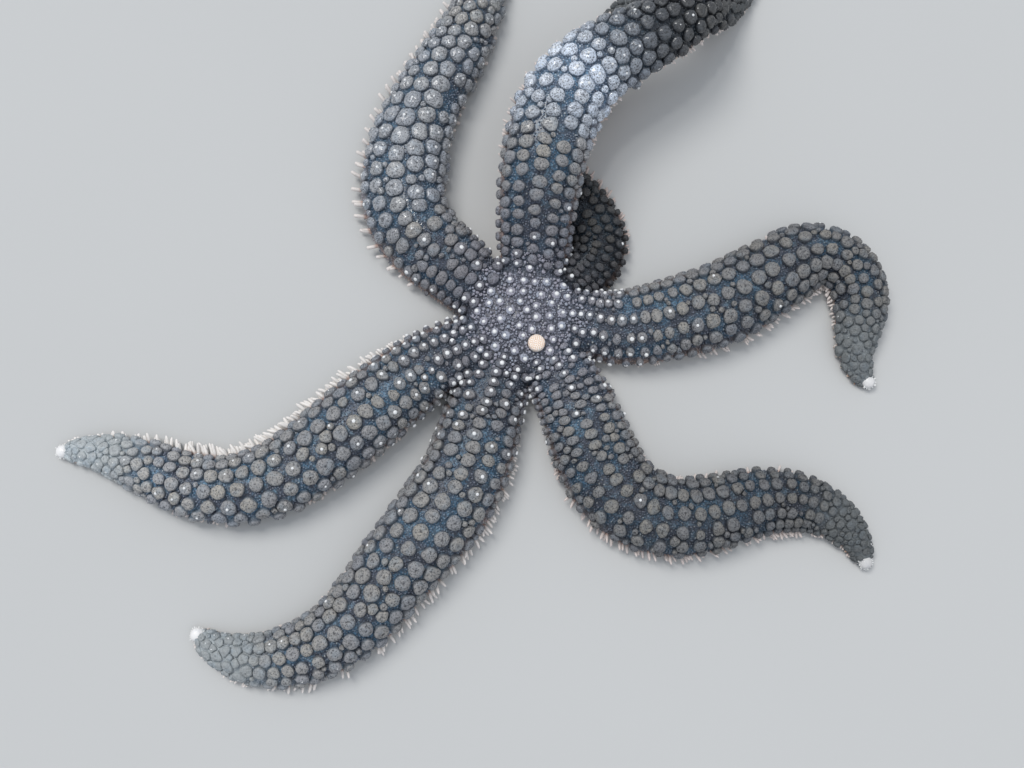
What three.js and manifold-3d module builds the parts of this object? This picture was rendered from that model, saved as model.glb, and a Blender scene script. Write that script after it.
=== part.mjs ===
// A seven-armed sea star, life size, standing with its arms spread and curled.
// Millimetres, +Z up. The origin is the middle of the mouth, on the ground that the animal
// stands on. Bearings are in degrees, turning from +X towards +Y.

import * as THREE from "three";
import { mergeVertices } from "three/addons/utils/BufferGeometryUtils.js";
import Module from "manifold-3d";

const wasm = await Module();
wasm.setup();

// ---- Driving dimensions ----

const GAP = 0.3; // clear space between neighbouring pieces

const ARM_HALF_WIDTH = 19.6; // widest half width of an arm of ordinary girth
const ROOT_SHARE = 0.68; // half width at the mouth, as a share of the widest
const WIDEST_AT = 0.4; // where along its length an arm is widest
const TAPER = 0.55; // share of the width that is lost from there to the tip
const BLUNTNESS = 18; // a higher power makes a blunter tip
const HEIGHT_RATIO = 1.18; // height of an arm's back over its half width
const FRINGE = 3.4; // reach of the edge spines past the arm's side
const KNOB = 1.3; // how far the spine cushions of the back stand out
const GROOVE_SHARE = 0.22; // depth of the groove of the tube feet over the height

const RING_STEP = 6.6; // spacing of the rings of cushions along an arm
const BASE_SHARE = 0.27; // an arm's three lengths, as shares of the whole
const MIDDLE_SHARE = 0.6;
const PLATE_LENGTH = 4; // the bare plate that ends each arm

const DISC_RADIUS = 29; // the disc ends, and the arms begin, on this circle
const DISC_HEIGHT = 20.5;
const ARM_START = 18; // an arm's root is lofted from here, inside the disc's circle

const MOUTH_RADIUS = 8;
const MOUTH_DEPTH = 4.6;

const SIEVE_RADIUS = 3.6; // the madreporite, the sieve plate on the disc's back
const SIEVE_CENTRE = new THREE.Vector2(5, -13.5);
const SIEVE_FOOT = 15.5;
const SIEVE_TOP = 20.6;

// An arm bends smoothly through its bearings, which stand at even steps from the mouth to the tip.
// Girth scales its width, stoop its height, and lean moves its back to the left (+) or right (-)
// of its run, which bares the spines of its other side. A lifted arm rises between "rises" and
// "up", and comes down again between "falls" and "down".
const ARMS = [
  { name: "arm_1", length: 230, girth: 1.06, stoop: 1, lean: -0.16, yields: ["arm_2"],
    bearings: [150, 140, 140, 90, 75, 60, 65, 70, 85] },
  { name: "arm_2", length: 228, girth: 1.04, stoop: 1, lean: 0, yields: [],
    bearings: [75, 90, 80, 75, 40, 25, 40, 45, 50],
    lift: { height: 26, rises: 16, up: 66, falls: 162, down: 212 } },
  { name: "arm_3", length: 216, girth: 0.8, stoop: 0.9, lean: 0.15, yields: ["arm_2", "arm_4"],
    bearings: [40, 38, 36, 100, 140, 125, 60, 60, 65, 65, 60, 60, 60] },
  { name: "arm_4", length: 214, girth: 1.02, stoop: 1, lean: 0, yields: ["arm_5"],
    bearings: [20, -25, 15, 15, 35, 30, -65, -120, -35] },
  { name: "arm_5", length: 212, girth: 1.02, stoop: 1, lean: 0, yields: ["arm_6"],
    bearings: [-60, -55, -75, -60, -15, 20, 5, -35, -85] },
  { name: "arm_6", length: 228, girth: 1.03, stoop: 1, lean: 0, yields: ["arm_7"],
    bearings: [-115, -115, -100, -125, -130, -125, -155, -185, -225] },
  { name: "arm_7", length: 232, girth: 0.98, stoop: 1, lean: 0.2, yields: ["arm_1"],
    bearings: [-155, -160, -140, -140, -140, -170, -205, -200, -165] },
];

// Half of an arm's section, from the ridge down the left side to the groove of the tube feet:
// how far across as a share of the half width, and how far up as a share of the height.
const RIDGE = { across: 0, up: 1 };
const FLANK = [
  { across: 0.42, up: 0.93 },
  { across: 0.78, up: 0.7 },
  { across: 0.98, up: 0.38 },
];
const EDGE = { across: 1, up: 0.12 };
const FOOT = [
  { across: 0.62, up: 0 },
  { across: 0.28, up: 0 },
];

const FLESH = { roughness: 0.6, metalness: 0 };
const COLOURS = {
  disc: 0x6f7c8a,
  base: 0x7c8591,
  middle: 0x8f8d86,
  tip: 0x94a0ab,
  plate: 0xd8dfe4,
  sieve: 0xead9bf,
  mouth: 0xd9a074,
};

// ---- An arm's run, width, height and lift ----

function bearingAt(arm, s) {
  const steps = arm.bearings.length - 1;
  const x = (s / arm.length) * steps;
  const nearest = Math.round(x);
  const t = x - nearest;
  const stop = (i) => arm.bearings[THREE.MathUtils.clamp(i, 0, steps)];
  const before = 0.5 * (0.5 - t) ** 2;
  const after = 0.5 * (0.5 + t) ** 2;
  const degrees = before * stop(nearest - 1) + (0.75 - t * t) * stop(nearest) + after * stop(nearest + 1);
  return THREE.MathUtils.degToRad(degrees);
}

// The middle line of an arm on the ground, one point for every millimetre.
function middleLine(arm) {
  const points = [new THREE.Vector2(0, 0)];
  for (let s = 0; s < arm.length; s += 1) {
    const bearing = bearingAt(arm, s + 0.5);
    const step = new THREE.Vector2(Math.cos(bearing), Math.sin(bearing));
    points.push(points[s].clone().add(step));
  }
  return points;
}

for (const arm of ARMS) {
  arm.line = middleLine(arm);
}

function pointAt(arm, s) {
  const whole = Math.min(Math.floor(s), arm.length - 1);
  return arm.line[whole].clone().lerp(arm.line[whole + 1], s - whole);
}

function halfWidthAt(arm, s) {
  const u = s / arm.length;
  if (u < WIDEST_AT) {
    const swell = Math.sin((Math.PI / 2) * (u / WIDEST_AT));
    return arm.girth * ARM_HALF_WIDTH * (ROOT_SHARE + (1 - ROOT_SHARE) * swell);
  }
  const taper = 1 - TAPER * ((u - WIDEST_AT) / (1 - WIDEST_AT)) ** 1.4;
  const blunt = Math.sqrt(1 - 0.97 * u ** BLUNTNESS);
  return arm.girth * ARM_HALF_WIDTH * taper * blunt;
}

function heightAt(arm, s) {
  return arm.stoop * HEIGHT_RATIO * halfWidthAt(arm, s);
}

function liftAt(arm, s) {
  if (!arm.lift) {
    return 0;
  }
  const up = THREE.MathUtils.smoothstep(s, arm.lift.rises, arm.lift.up);
  const down = THREE.MathUtils.smoothstep(s, arm.lift.falls, arm.lift.down);
  return arm.lift.height * up * (1 - down);
}

// On the inside of a bend the flesh is pressed together, so the arm is narrower there.
function sideWidth(arm, s, side, extra) {
  const turn = bearingAt(arm, Math.min(s + 3, arm.length)) - bearingAt(arm, Math.max(s - 3, 0));
  const inward = Math.max(0, (side * turn) / 6);
  const free = halfWidthAt(arm, s) + extra;
  return free / (1 + (free * inward * 1.2) ** 4) ** 0.25;
}

// ---- One ring of an arm, and the lofts made from rings ----

// The ring's corners, from the ridge down the left side, and up the right side.
// "row" says which cushions of the ring stand out: they alternate from ring to ring.
function ring(arm, s, row, grow = 0) {
  const bearing = bearingAt(arm, s);
  const left = new THREE.Vector2(-Math.sin(bearing), Math.cos(bearing));
  const middle = pointAt(arm, s);
  const height = heightAt(arm, s);
  const lift = liftAt(arm, s);
  const knobs = Math.min(1, halfWidthAt(arm, s) / 12);
  const corner = (side, share, out, spread) => {
    const width = sideWidth(arm, s, side, spread);
    const lean = arm.lean * halfWidthAt(arm, s) * share.up;
    const across = side * width * share.across + lean;
    const rise = share.up * height;
    const tall = Math.hypot(width * share.across, rise);
    const swell = 1 + (out + (share.up > 0 ? grow : 0)) / tall;
    const sunk = share.up > 0 ? 0 : grow;
    const place = middle.clone().addScaledVector(left, lean + (across - lean) * swell);
    return new THREE.Vector3(place.x, place.y, rise * swell + lift - sunk);
  };
  const stands = (i) => (row === null ? 0 : knobs * KNOB * ((row + i) % 2 === 0 ? 1 : -0.3));
  const comb = row === null ? FRINGE * 0.6 : FRINGE * ((row % 2) * 0.5 + 0.5);
  const spread = (side) => comb * knobs * (1 - 2 * side * arm.lean);
  const flank = (side) => FLANK.map((share, i) => corner(side, share, stands(i + 1), 0));
  const edge = (side) => corner(side, EDGE, 0, spread(side));
  const foot = (side) => FOOT.map((share) => corner(side, share, 0, 0));
  const groove = new THREE.Vector3(middle.x, middle.y, GROOVE_SHARE * height + lift);
  return [
    corner(1, RIDGE, stands(0), 0),
    ...flank(1),
    edge(1),
    ...foot(1),
    groove,
    ...foot(-1).reverse(),
    edge(-1),
    ...flank(-1).reverse(),
  ];
}

// A closed solid through a list of rings, with a flat at each end.
function loftRings(rings) {
  const count = rings[0].length;
  const positions = rings.flat().flatMap((p) => [p.x, p.y, p.z]);
  const index = [];
  for (let r = 0; r + 1 < rings.length; r += 1) {
    for (let i = 0; i < count; i += 1) {
      const a = r * count + i;
      const b = r * count + ((i + 1) % count);
      index.push(a, a + count, b, b, a + count, b + count);
    }
  }
  // Each end is filled with a fan round the groove below, and with strips from side to side above.
  const groove = count / 2;
  const shoulder = FLANK.length;
  const end = (first, flip) => {
    const face = (a, b, c) => index.push(first + a, first + (flip ? c : b), first + (flip ? b : c));
    for (let i = shoulder; i < groove - 1; i += 1) {
      face(i, i + 1, groove);
      face(groove, count - i - 1, count - i);
    }
    face(shoulder, groove, count - shoulder);
    for (let i = 1; i < shoulder; i += 1) {
      face(i, i + 1, count - i);
      face(i + 1, count - i - 1, count - i);
    }
    face(0, 1, count - 1);
  };
  end(0, false);
  end((rings.length - 1) * count, true);
  const geometry = new THREE.BufferGeometry();
  geometry.setAttribute("position", new THREE.Float32BufferAttribute(positions, 3));
  geometry.setIndex(index);
  return geometry;
}

// One length of an arm. Its end rings are plain, so that two lengths meet face to face.
function loftArm(arm, from, to, grow = 0) {
  const first = Math.ceil(from / RING_STEP + 0.35);
  const last = Math.floor(to / RING_STEP - 0.35);
  const rings = [ring(arm, from, null, grow)];
  for (let row = first; row <= last; row += 1) {
    rings.push(ring(arm, row * RING_STEP, row, grow));
  }
  rings.push(ring(arm, to, null, grow));
  return loftRings(rings);
}

// ---- Cutting and joining ----

function solidOf(geometry) {
  const bare = geometry.clone();
  bare.deleteAttribute("normal");
  bare.deleteAttribute("uv");
  const whole = mergeVertices(bare, 1e-4);
  const mesh = new wasm.Mesh({
    numProp: 3,
    vertProperties: new Float32Array(whole.attributes.position.array),
    triVerts: new Uint32Array(whole.index.array),
  });
  return new wasm.Manifold(mesh);
}

function geometryOf(solid) {
  const mesh = solid.getMesh();
  const geometry = new THREE.BufferGeometry();
  geometry.setAttribute("position", new THREE.Float32BufferAttribute(mesh.vertProperties, 3));
  geometry.setIndex(new THREE.Uint32BufferAttribute(mesh.triVerts, 1));
  return geometry;
}

function upright(radius, bottom, top, sides, x = 0, y = 0) {
  const geometry = new THREE.CylinderGeometry(radius, radius, top - bottom, sides);
  geometry.rotateX(Math.PI / 2);
  geometry.translate(x, y, (bottom + top) / 2);
  return geometry;
}

// A round body turned about +Z from (radius, height) pairs that run from the bottom to the top.
function turned(profile, sides, x = 0, y = 0) {
  const geometry = new THREE.LatheGeometry(profile.map(([r, z]) => new THREE.Vector2(r, z)), sides);
  geometry.rotateX(Math.PI / 2);
  geometry.translate(x, y, 0);
  return geometry;
}

const group = new THREE.Group();

function add(name, geometry, colour) {
  geometry.computeVertexNormals();
  const material = new THREE.MeshStandardMaterial({ ...FLESH, color: colour, flatShading: true });
  const mesh = new THREE.Mesh(geometry, material);
  mesh.name = name;
  group.add(mesh);
}

// ---- The disc: the roots of all the arms, with a low dome over them ----

function buildDisc() {
  const sides = 28;
  const dome = turned(
    [
      [0, 0],
      [24, 0],
      [27, 3],
      [27, 9],
      [24.5, 14],
      [19, 17.4],
      [12, DISC_HEIGHT - 1.2],
      [5, DISC_HEIGHT],
      [0, DISC_HEIGHT],
    ],
    sides,
  );
  let disc = solidOf(dome);
  for (const arm of ARMS) {
    disc = disc.add(solidOf(loftArm(arm, 1, DISC_RADIUS + 12)));
  }
  disc = disc.intersect(solidOf(upright(DISC_RADIUS, -1, 60, 2 * sides)));
  disc = disc.subtract(solidOf(upright(MOUTH_RADIUS + GAP, -1, MOUTH_DEPTH + GAP, sides)));
  const pocket = upright(SIEVE_RADIUS + GAP, SIEVE_FOOT - GAP, 60, sides, SIEVE_CENTRE.x, SIEVE_CENTRE.y);
  disc = disc.subtract(solidOf(pocket));
  add("disc", geometryOf(disc), COLOURS.disc);
}

// The mouth's ring of jaws, closed by its spines, stands level with the ground.
function buildMouth() {
  const profile = [
    [0, 0],
    [MOUTH_RADIUS * 0.7, 0],
    [MOUTH_RADIUS, 1.6],
    [MOUTH_RADIUS, MOUTH_DEPTH],
    [0, MOUTH_DEPTH],
  ];
  add("mouth", turned(profile, 21), COLOURS.mouth);
}

function buildSieve() {
  const profile = [
    [0, SIEVE_FOOT],
    [SIEVE_RADIUS, SIEVE_FOOT],
    [SIEVE_RADIUS, SIEVE_TOP - 1.4],
    [SIEVE_RADIUS * 0.7, SIEVE_TOP - 0.3],
    [0, SIEVE_TOP],
  ];
  add("madreporite", turned(profile, 18, SIEVE_CENTRE.x, SIEVE_CENTRE.y), COLOURS.sieve);
}

// ---- The arms ----

// An arm's root stops at the disc's circle, and gives way to the neighbours that it is beside or under.
function buildBase(arm, to) {
  let base = solidOf(loftArm(arm, ARM_START, to));
  base = base.subtract(solidOf(upright(DISC_RADIUS + GAP, -1, 60, 56)));
  for (const neighbour of ARMS.filter((other) => arm.yields.includes(other.name))) {
    base = base.subtract(solidOf(loftArm(neighbour, 1, 90, GAP)));
  }
  add(`${arm.name}_base`, geometryOf(base), COLOURS.base);
}

function buildArm(arm) {
  const baseEnd = Math.round(arm.length * BASE_SHARE);
  const middleEnd = Math.round(arm.length * MIDDLE_SHARE);
  const tipEnd = arm.length - PLATE_LENGTH;
  buildBase(arm, baseEnd);
  add(`${arm.name}_middle`, loftArm(arm, baseEnd + GAP, middleEnd), COLOURS.middle);
  add(`${arm.name}_tip`, loftArm(arm, middleEnd + GAP, tipEnd), COLOURS.tip);
  add(`${arm.name}_tip_plate`, loftArm(arm, tipEnd + GAP, arm.length), COLOURS.plate);
}

buildDisc();
buildMouth();
buildSieve();
ARMS.forEach(buildArm);

export default group;
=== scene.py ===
# A seven-armed sea star, life size, as a still model. Lengths are in millimetres unless a name
# or a comment says otherwise, and MM turns them into the frame's metres.

import math
import bpy
import numpy as np
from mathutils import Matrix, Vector
from mathutils.bvhtree import BVHTree
from mathutils.kdtree import KDTree


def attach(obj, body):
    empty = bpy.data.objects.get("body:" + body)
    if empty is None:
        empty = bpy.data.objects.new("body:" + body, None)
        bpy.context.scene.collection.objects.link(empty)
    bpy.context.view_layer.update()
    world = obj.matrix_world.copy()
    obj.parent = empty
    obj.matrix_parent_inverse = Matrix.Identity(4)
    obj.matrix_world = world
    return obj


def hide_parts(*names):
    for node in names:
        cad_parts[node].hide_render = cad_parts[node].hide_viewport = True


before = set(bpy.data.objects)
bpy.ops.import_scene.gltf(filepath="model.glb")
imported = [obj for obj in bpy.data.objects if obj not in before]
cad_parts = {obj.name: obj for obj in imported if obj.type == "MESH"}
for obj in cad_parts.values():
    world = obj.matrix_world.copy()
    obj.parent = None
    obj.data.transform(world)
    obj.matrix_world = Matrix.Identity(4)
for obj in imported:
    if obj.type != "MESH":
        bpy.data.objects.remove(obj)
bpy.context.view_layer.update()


# ---- The body ----
# Seven long arms and one small disc of soft flesh over a lattice of chalky plates, grown as one.
# The hide is moist and blue, mottled with grey, pink at the roots' edges and orange underneath.
# It is one skin here, and lies inside the solids by the depth of the cushions that stand on it.

MM = 0.001
draw = np.random.default_rng(11)

# An arm's half width where it is widest, the share of that at its root, the reach at which it is
# widest, how much it loses from there to its tip and on what curve, and how bluntly it ends.
ARM_HALF_WIDTH = 19.6
ROOT_SHARE = 0.68
WIDEST_AT = 0.4
TAPER = 0.55
TAPER_CURVE = 1.4
BLUNTNESS = 18
HEIGHT_RATIO = 1.18
DISC_RADIUS = 29.0
CUSHION_DEPTH = 2.7
FOOT_CLEARANCE = 1.6
# Where an arm's half width is under this, what stands on it is lower in proportion.
SLIM = 10
# The inside of a bend is pressed in, by its turn over so much each way, and so strongly.
BEND_REACH = 3
BEND_PRESS = 1.2


def smooth_step(value, low, high):
    share = np.clip((value - low) / (high - low), 0, 1)
    return share * share * (3 - 2 * share)


# Along an arm's middle line s runs from the mouth, and reach is s over the arm's length. Round its
# section, w runs from 0 on the ridge through 1 at the edge to 2 in the groove, and is negative on
# the right. Each corner of the section is (w, across over half width, up over height).
SECTION = np.array([
    (0.0, 0.0, 1.0), (0.27, 0.42, 0.93), (0.55, 0.78, 0.7), (0.81, 0.98, 0.38),
    (1.0, 1.0, 0.12), (1.36, 0.62, 0.0), (1.66, 0.28, 0.0), (2.0, 0.0, 0.22),
])
section_w = np.linspace(-2.3, 2.3, 461)
section_turn = 2 - np.abs(2 - np.abs(section_w))
softening = np.hanning(21) / np.hanning(21).sum()
section_side = np.where(np.abs(section_w) > 2, -1, 1) * np.sign(section_w)
section_across = np.convolve(section_side * np.interp(section_turn, *SECTION.T[[0, 1]]), softening, "same")
section_up = np.convolve(np.interp(section_turn, *SECTION.T[[0, 2]]), softening, "same")


class Arm:
    """One arm: where its middle line runs, and how wide and high it is along it. Girth scales its
    width and stoop its height, lean moves its ridge aside, and bearings are its headings in degrees
    at even steps. Lift is the height of its bridge, and where that starts, is up, falls and ends."""

    def __init__(self, number, length, girth, stoop, lean, bearings, lift=None):
        self.number, self.length, self.girth, self.stoop = number, length, girth, stoop
        self.lean, self.lift, self.bearings = lean, lift, np.array(bearings, float)
        bearing = self.bearing(np.arange(length) + 0.5)
        steps = np.stack([np.cos(bearing), np.sin(bearing)], axis=1)
        self.line = np.vstack([np.zeros((1, 2)), np.cumsum(steps, axis=0)])

    def bearing(self, s):
        """The heading at s in radians, smooth between the steps."""
        steps = len(self.bearings) - 1
        x = np.clip(s, 0, self.length) / self.length * steps
        nearest = np.rint(x).astype(int)
        t = x - nearest
        before, here, after = (self.bearings[np.clip(nearest + i, 0, steps)] for i in (-1, 0, 1))
        eased = 0.5 * (0.5 - t) ** 2 * before + (0.75 - t * t) * here + 0.5 * (0.5 + t) ** 2 * after
        return np.radians(eased)

    def middle(self, s):
        along = np.arange(len(self.line))
        return np.stack([np.interp(s, along, self.line[:, i]) for i in (0, 1)], axis=-1)

    def half_width(self, s):
        u = np.clip(np.asarray(s, float) / self.length, 0, 1)
        swell = ROOT_SHARE + (1 - ROOT_SHARE) * np.sin(math.pi / 2 * np.minimum(u / WIDEST_AT, 1))
        taper = 1 - TAPER * (np.maximum(u - WIDEST_AT, 0) / (1 - WIDEST_AT)) ** TAPER_CURVE
        return self.girth * ARM_HALF_WIDTH * swell * taper * np.sqrt(1 - 0.97 * u ** BLUNTNESS)

    def rise(self, s):
        if self.lift is None:
            return np.zeros_like(np.asarray(s, float))
        height, rises, up, falls, down = self.lift
        return height * smooth_step(s, rises, up) * (1 - smooth_step(s, falls, down))

    def place(self, s, w, depth=CUSHION_DEPTH):
        """Points at s along the arm and w round it, so deep inside the reach of the cushions."""
        s, w = np.broadcast_arrays(np.asarray(s, float), np.asarray(w, float))
        across = np.interp(w, section_w, section_across)
        up = np.interp(w, section_w, section_up)
        bearing = self.bearing(s)
        ahead, behind = np.minimum(s + BEND_REACH, self.length), np.maximum(s - BEND_REACH, 0)
        turn = (self.bearing(ahead) - self.bearing(behind)) / (2 * BEND_REACH)
        pressed = np.maximum(0, np.sign(w) * turn)
        plain_width = self.half_width(s)
        width = plain_width / (1 + (plain_width * pressed * BEND_PRESS) ** 4) ** 0.25
        height = self.stoop * HEIGHT_RATIO * plain_width
        above = smooth_step(up, 0, 0.3)
        small = np.minimum(1, plain_width / SLIM)
        shrink = 1 - depth * small * above / np.hypot(width * across, np.maximum(height * up, 0.5))
        sideways = self.lean * plain_width * up + width * across * shrink
        left = np.stack([-np.sin(bearing), np.cos(bearing)], axis=-1)
        flat = self.middle(s) + left * sideways[..., None]
        tall = height * up * shrink + (1 - above) * FOOT_CLEARANCE * small + self.rise(s)
        return np.concatenate([flat, tall[..., None]], axis=-1)


# The disc counts as an eighth arm.
DISC = 8
# How much paler or darker than the rest each arm is, as steps of (reach, tone). Part of it is the
# animal's own colour, as at the pale tips. Part is painted light: painted shade on the third arm, which
# lies in the second arm's shadow, and on the second arm's far part, and painted highlights on the wet
# stretches of the first two arms.
TONES_AND_PAINTED_LIGHT = {
    1: [(0.0, 1.4), (0.1, 0.95), (0.3, 1.15), (0.4, 1.35), (0.7, 1.2), (1.0, 1.0)],
    2: [(0.0, 1.4), (0.1, 1.1), (0.3, 1.12), (0.37, 1.6), (0.48, 2.6), (0.55, 1.1), (0.62, 0.42),
        (0.68, 0.2), (1.0, 0.28)],
    3: [(0.0, 1.3), (0.08, 0.62), (0.2, 0.28), (0.6, 0.3), (1.0, 0.5)],
    4: [(0.0, 1.4), (0.1, 1.2), (0.5, 0.8), (1.0, 0.67)],
    5: [(0.0, 1.45), (0.15, 1.24), (0.35, 0.8), (0.8, 0.57), (1.0, 0.42)],
    6: [(0.0, 1.4), (0.1, 0.9), (0.4, 1.08), (0.65, 1.08), (0.85, 1.24), (0.97, 1.36)],
    7: [(0.0, 1.45), (0.1, 1.02), (0.6, 1.2), (0.8, 1.5), (0.95, 1.74)],
    DISC: [(0.0, 1.8), (1.0, 1.8)],
}
# The first two arms are wet where they have just been under water, and the rest is nearly dry.
# Where they are wet, the cushions also carry a painted reflection of the sky.
NEARLY_DRY = 0.1
WETNESS = {
    1: [(0.2, 0.1), (0.32, 0.75), (0.72, 0.75), (0.85, 0.3)],
    2: [(0.28, 0.1), (0.36, 1.0), (0.62, 1.0), (0.8, 0.4)],
}
ARMS = [
    Arm(1, 230, 1.06, 1.0, -0.16, [150, 140, 140, 90, 75, 60, 65, 70, 85]),
    Arm(2, 228, 1.04, 1.0, 0.0, [75, 90, 80, 75, 40, 25, 40, 45, 50], lift=(26, 16, 66, 162, 212)),
    Arm(3, 216, 0.8, 0.9, 0.15, [40, 38, 36, 100, 140, 125, 60, 60, 65, 65, 60, 60, 60]),
    Arm(4, 214, 1.02, 1.0, 0.0, [20, -25, 15, 15, 35, 30, -65, -120, -35]),
    Arm(5, 212, 1.02, 1.0, 0.0, [-60, -55, -75, -60, -15, 20, 5, -35, -85]),
    Arm(6, 228, 1.03, 1.0, 0.0, [-115, -115, -100, -125, -130, -125, -155, -185, -225]),
    Arm(7, 232, 0.98, 1.0, 0.2, [-155, -160, -140, -140, -140, -170, -205, -200, -165]),
]


def mesh_of(name, points, corners):
    """A smooth mesh from points in millimetres and an array of faces with equal corner counts."""
    mesh = bpy.data.meshes.new(name)
    mesh.vertices.add(len(points))
    mesh.vertices.foreach_set("co", (points * MM).astype(np.float32).ravel())
    mesh.loops.add(corners.size)
    mesh.loops.foreach_set("vertex_index", corners.astype(np.int32).ravel())
    mesh.polygons.add(len(corners))
    mesh.polygons.foreach_set("loop_start", np.arange(0, corners.size, corners.shape[1], dtype=np.int32))
    mesh.polygons.foreach_set("use_smooth", np.ones(len(corners), bool))
    mesh.update(calc_edges=True)
    return mesh


def loop_tube(rings):
    """A closed tube through rings of points, as triangles: (rings, points, 3) in millimetres."""
    count, around = rings.shape[:2]
    points = np.concatenate([rings.reshape(-1, 3), rings[:1].mean(axis=1), rings[-1:].mean(axis=1)])
    a = (np.arange(count - 1)[:, None] * around + np.arange(around)).ravel()
    b = (np.arange(count - 1)[:, None] * around + (np.arange(around) + 1) % around).ravel()
    sides = [np.stack([a, a + around, b], axis=1), np.stack([b, a + around, b + around], axis=1)]
    rim = np.arange(around)
    next_rim = (rim + 1) % around
    last = (count - 1) * around
    start = np.stack([rim, next_rim, np.full(around, count * around)], axis=1)
    end = np.stack([last + next_rim, last + rim, np.full(around, count * around + 1)], axis=1)
    return points, np.concatenate([*sides, start, end])


def join(parts):
    """Several (points, corners) pairs as one."""
    starts = np.cumsum([0] + [len(points) for points, _ in parts[:-1]])
    corners = [corners + start for (_, corners), start in zip(parts, starts)]
    return np.concatenate([points for points, _ in parts]), np.concatenate(corners)


def arm_tube(arm):
    s = np.append(np.arange(0.5, arm.length - 3, 2.0), arm.length - np.array([2.2, 1.2]))
    w = np.linspace(-2, 2, 48, endpoint=False)
    return loop_tube(arm.place(s[:, None], w[None, :]))


def disc_dome():
    profile = [(25, 1.6), (27, 5), (26.5, 9), (24, 13), (19, 15.8), (12, 17.6), (5, 18.6), (0.6, 18.8)]
    turn = np.linspace(0, 2 * math.pi, 56, endpoint=False)
    x, y = np.cos(turn), np.sin(turn)
    rings = [np.stack([r * x, r * y, np.full_like(turn, z)], axis=1) for r, z in profile]
    return loop_tube(np.array(rings))


def evaluated(obj, name):
    """The object's mesh with its modifiers applied, as a new mesh."""
    depsgraph = bpy.context.evaluated_depsgraph_get()
    mesh = bpy.data.meshes.new_from_object(obj.evaluated_get(depsgraph), depsgraph=depsgraph)
    mesh.name = name
    return mesh


SKIN_GRAIN = 1.5


def grow_body():
    """The arms and the disc melted together into one skin of small squares."""
    tubes = [arm_tube(arm) for arm in ARMS]
    rough = bpy.data.objects.new("rough", mesh_of("rough", *join([*tubes, disc_dome()])))
    bpy.context.scene.collection.objects.link(rough)
    remesh = rough.modifiers.new("remesh", "REMESH")
    remesh.mode = "VOXEL"
    remesh.voxel_size = SKIN_GRAIN * MM
    smooth = rough.modifiers.new("smooth", "SMOOTH")
    smooth.factor = 0.5
    smooth.iterations = 6
    mesh = evaluated(rough, "skin")
    bpy.data.objects.remove(rough)
    return mesh


skin_mesh = grow_body()


def points_of(mesh):
    points = np.empty(3 * len(mesh.vertices), np.float32)
    mesh.vertices.foreach_get("co", points)
    return points.reshape(-1, 3).astype(float) / MM


def quads_of(mesh):
    corners = np.empty(len(mesh.loops), np.int32)
    mesh.loops.foreach_get("vertex_index", corners)
    return corners.reshape(-1, 4)


def unit(vectors):
    return vectors / np.maximum(np.linalg.norm(vectors, axis=-1, keepdims=True), 1e-9)


def gather(quads, values, count):
    """The sum at each point of the values of the quads round it."""
    summed = [np.bincount(quads.ravel(), np.repeat(values[:, i], 4), count) for i in range(3)]
    return np.stack(summed, axis=1)


EVENING_ROUNDS = 10


def outward_directions(points, quads):
    """The skin's outward direction at each point, evened out over about a cushion's width."""
    a, b, c, d = (points[quads[:, i]] for i in range(4))
    directions = unit(gather(quads, np.cross(c - a, d - b), len(points)))
    for _ in range(EVENING_ROUNDS):
        directions = unit(gather(quads, directions[quads].sum(axis=1), len(points)))
    return directions


skin_points = points_of(skin_mesh)
MOUTH_HOLLOW = 5.2
GROOVE_HOLLOW = 3.4


def hollow_underside():
    """Presses the skin in round the mouth, and along the grooves that run in to it."""
    from_mouth = np.hypot(skin_points[:, 0], skin_points[:, 1])
    below = skin_points[:, 2] < 6
    lines = np.concatenate([arm.middle(np.arange(5.0, 48.0)) for arm in ARMS])
    from_line = np.full(len(skin_points), 99.0)
    near = np.flatnonzero(below & (from_mouth < 50))
    from_line[near] = np.min(np.linalg.norm(skin_points[near, None, :2] - lines, axis=2), axis=1)
    pressed = 1 - smooth_step(from_mouth, 4.5, 9.0)
    furrow = (1 - smooth_step(from_line, 1.4, 5.2)) * (1 - smooth_step(from_mouth, 24, 44))
    skin_points[:, 2] += below * np.maximum(MOUTH_HOLLOW * pressed, GROOVE_HOLLOW * furrow)
    skin_mesh.vertices.foreach_set("co", (skin_points * MM).astype(np.float32).ravel())
    skin_mesh.update()


hollow_underside()
skin_quads = quads_of(skin_mesh)
skin_outward = outward_directions(skin_points, skin_quads)
skin_tree = BVHTree.FromPolygons(skin_points.tolist(), skin_quads.tolist())


def on_skin(points):
    """The nearest places on the skin, the skin's outward directions there, and the distances."""
    found = [skin_tree.find_nearest(Vector(p)) for p in points]
    places = np.array([f[0] for f in found])
    outward = unit(skin_outward[skin_quads[[f[2] for f in found]]].sum(axis=1))
    return places, outward, np.array([f[3] for f in found])


def tree_of(places):
    tree = KDTree(len(places))
    for i, place in enumerate(places):
        tree.insert(place, i)
    tree.balance()
    return tree


def survey():
    """Places all over the arms, and the arm number, reach and w of each."""
    s, w = np.meshgrid(np.linspace(0.01, 0.99, 110), np.linspace(-2, 2, 49))
    s, w = s.ravel(), w.ravel()
    sites = np.concatenate([arm.place(s * arm.length, w) for arm in ARMS])
    facts = np.concatenate([np.stack([np.full(len(s), arm.number), s, w], axis=1) for arm in ARMS])
    return tree_of(sites), facts


site_tree, site_facts = survey()


def value_at(steps, place):
    """The value at each place on a run of (place, value) steps."""
    return np.interp(place, *zip(*steps))


def values_on_arms(table, usual, number, place):
    """The value at each place on the numbered arms, and the usual one on arms not in the table."""
    values = np.full(len(place), usual)
    for arm, steps in table.items():
        here = number == arm
        values[here] = value_at(steps, place[here])
    return values


def wetness_at(number, reach):
    return values_on_arms(WETNESS, NEARLY_DRY, number, reach)


def facts_at(points):
    """Arm number, reach and w of the nearest surveyed place to each point."""
    return site_facts[[site_tree.find(p)[1] for p in points]]


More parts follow.
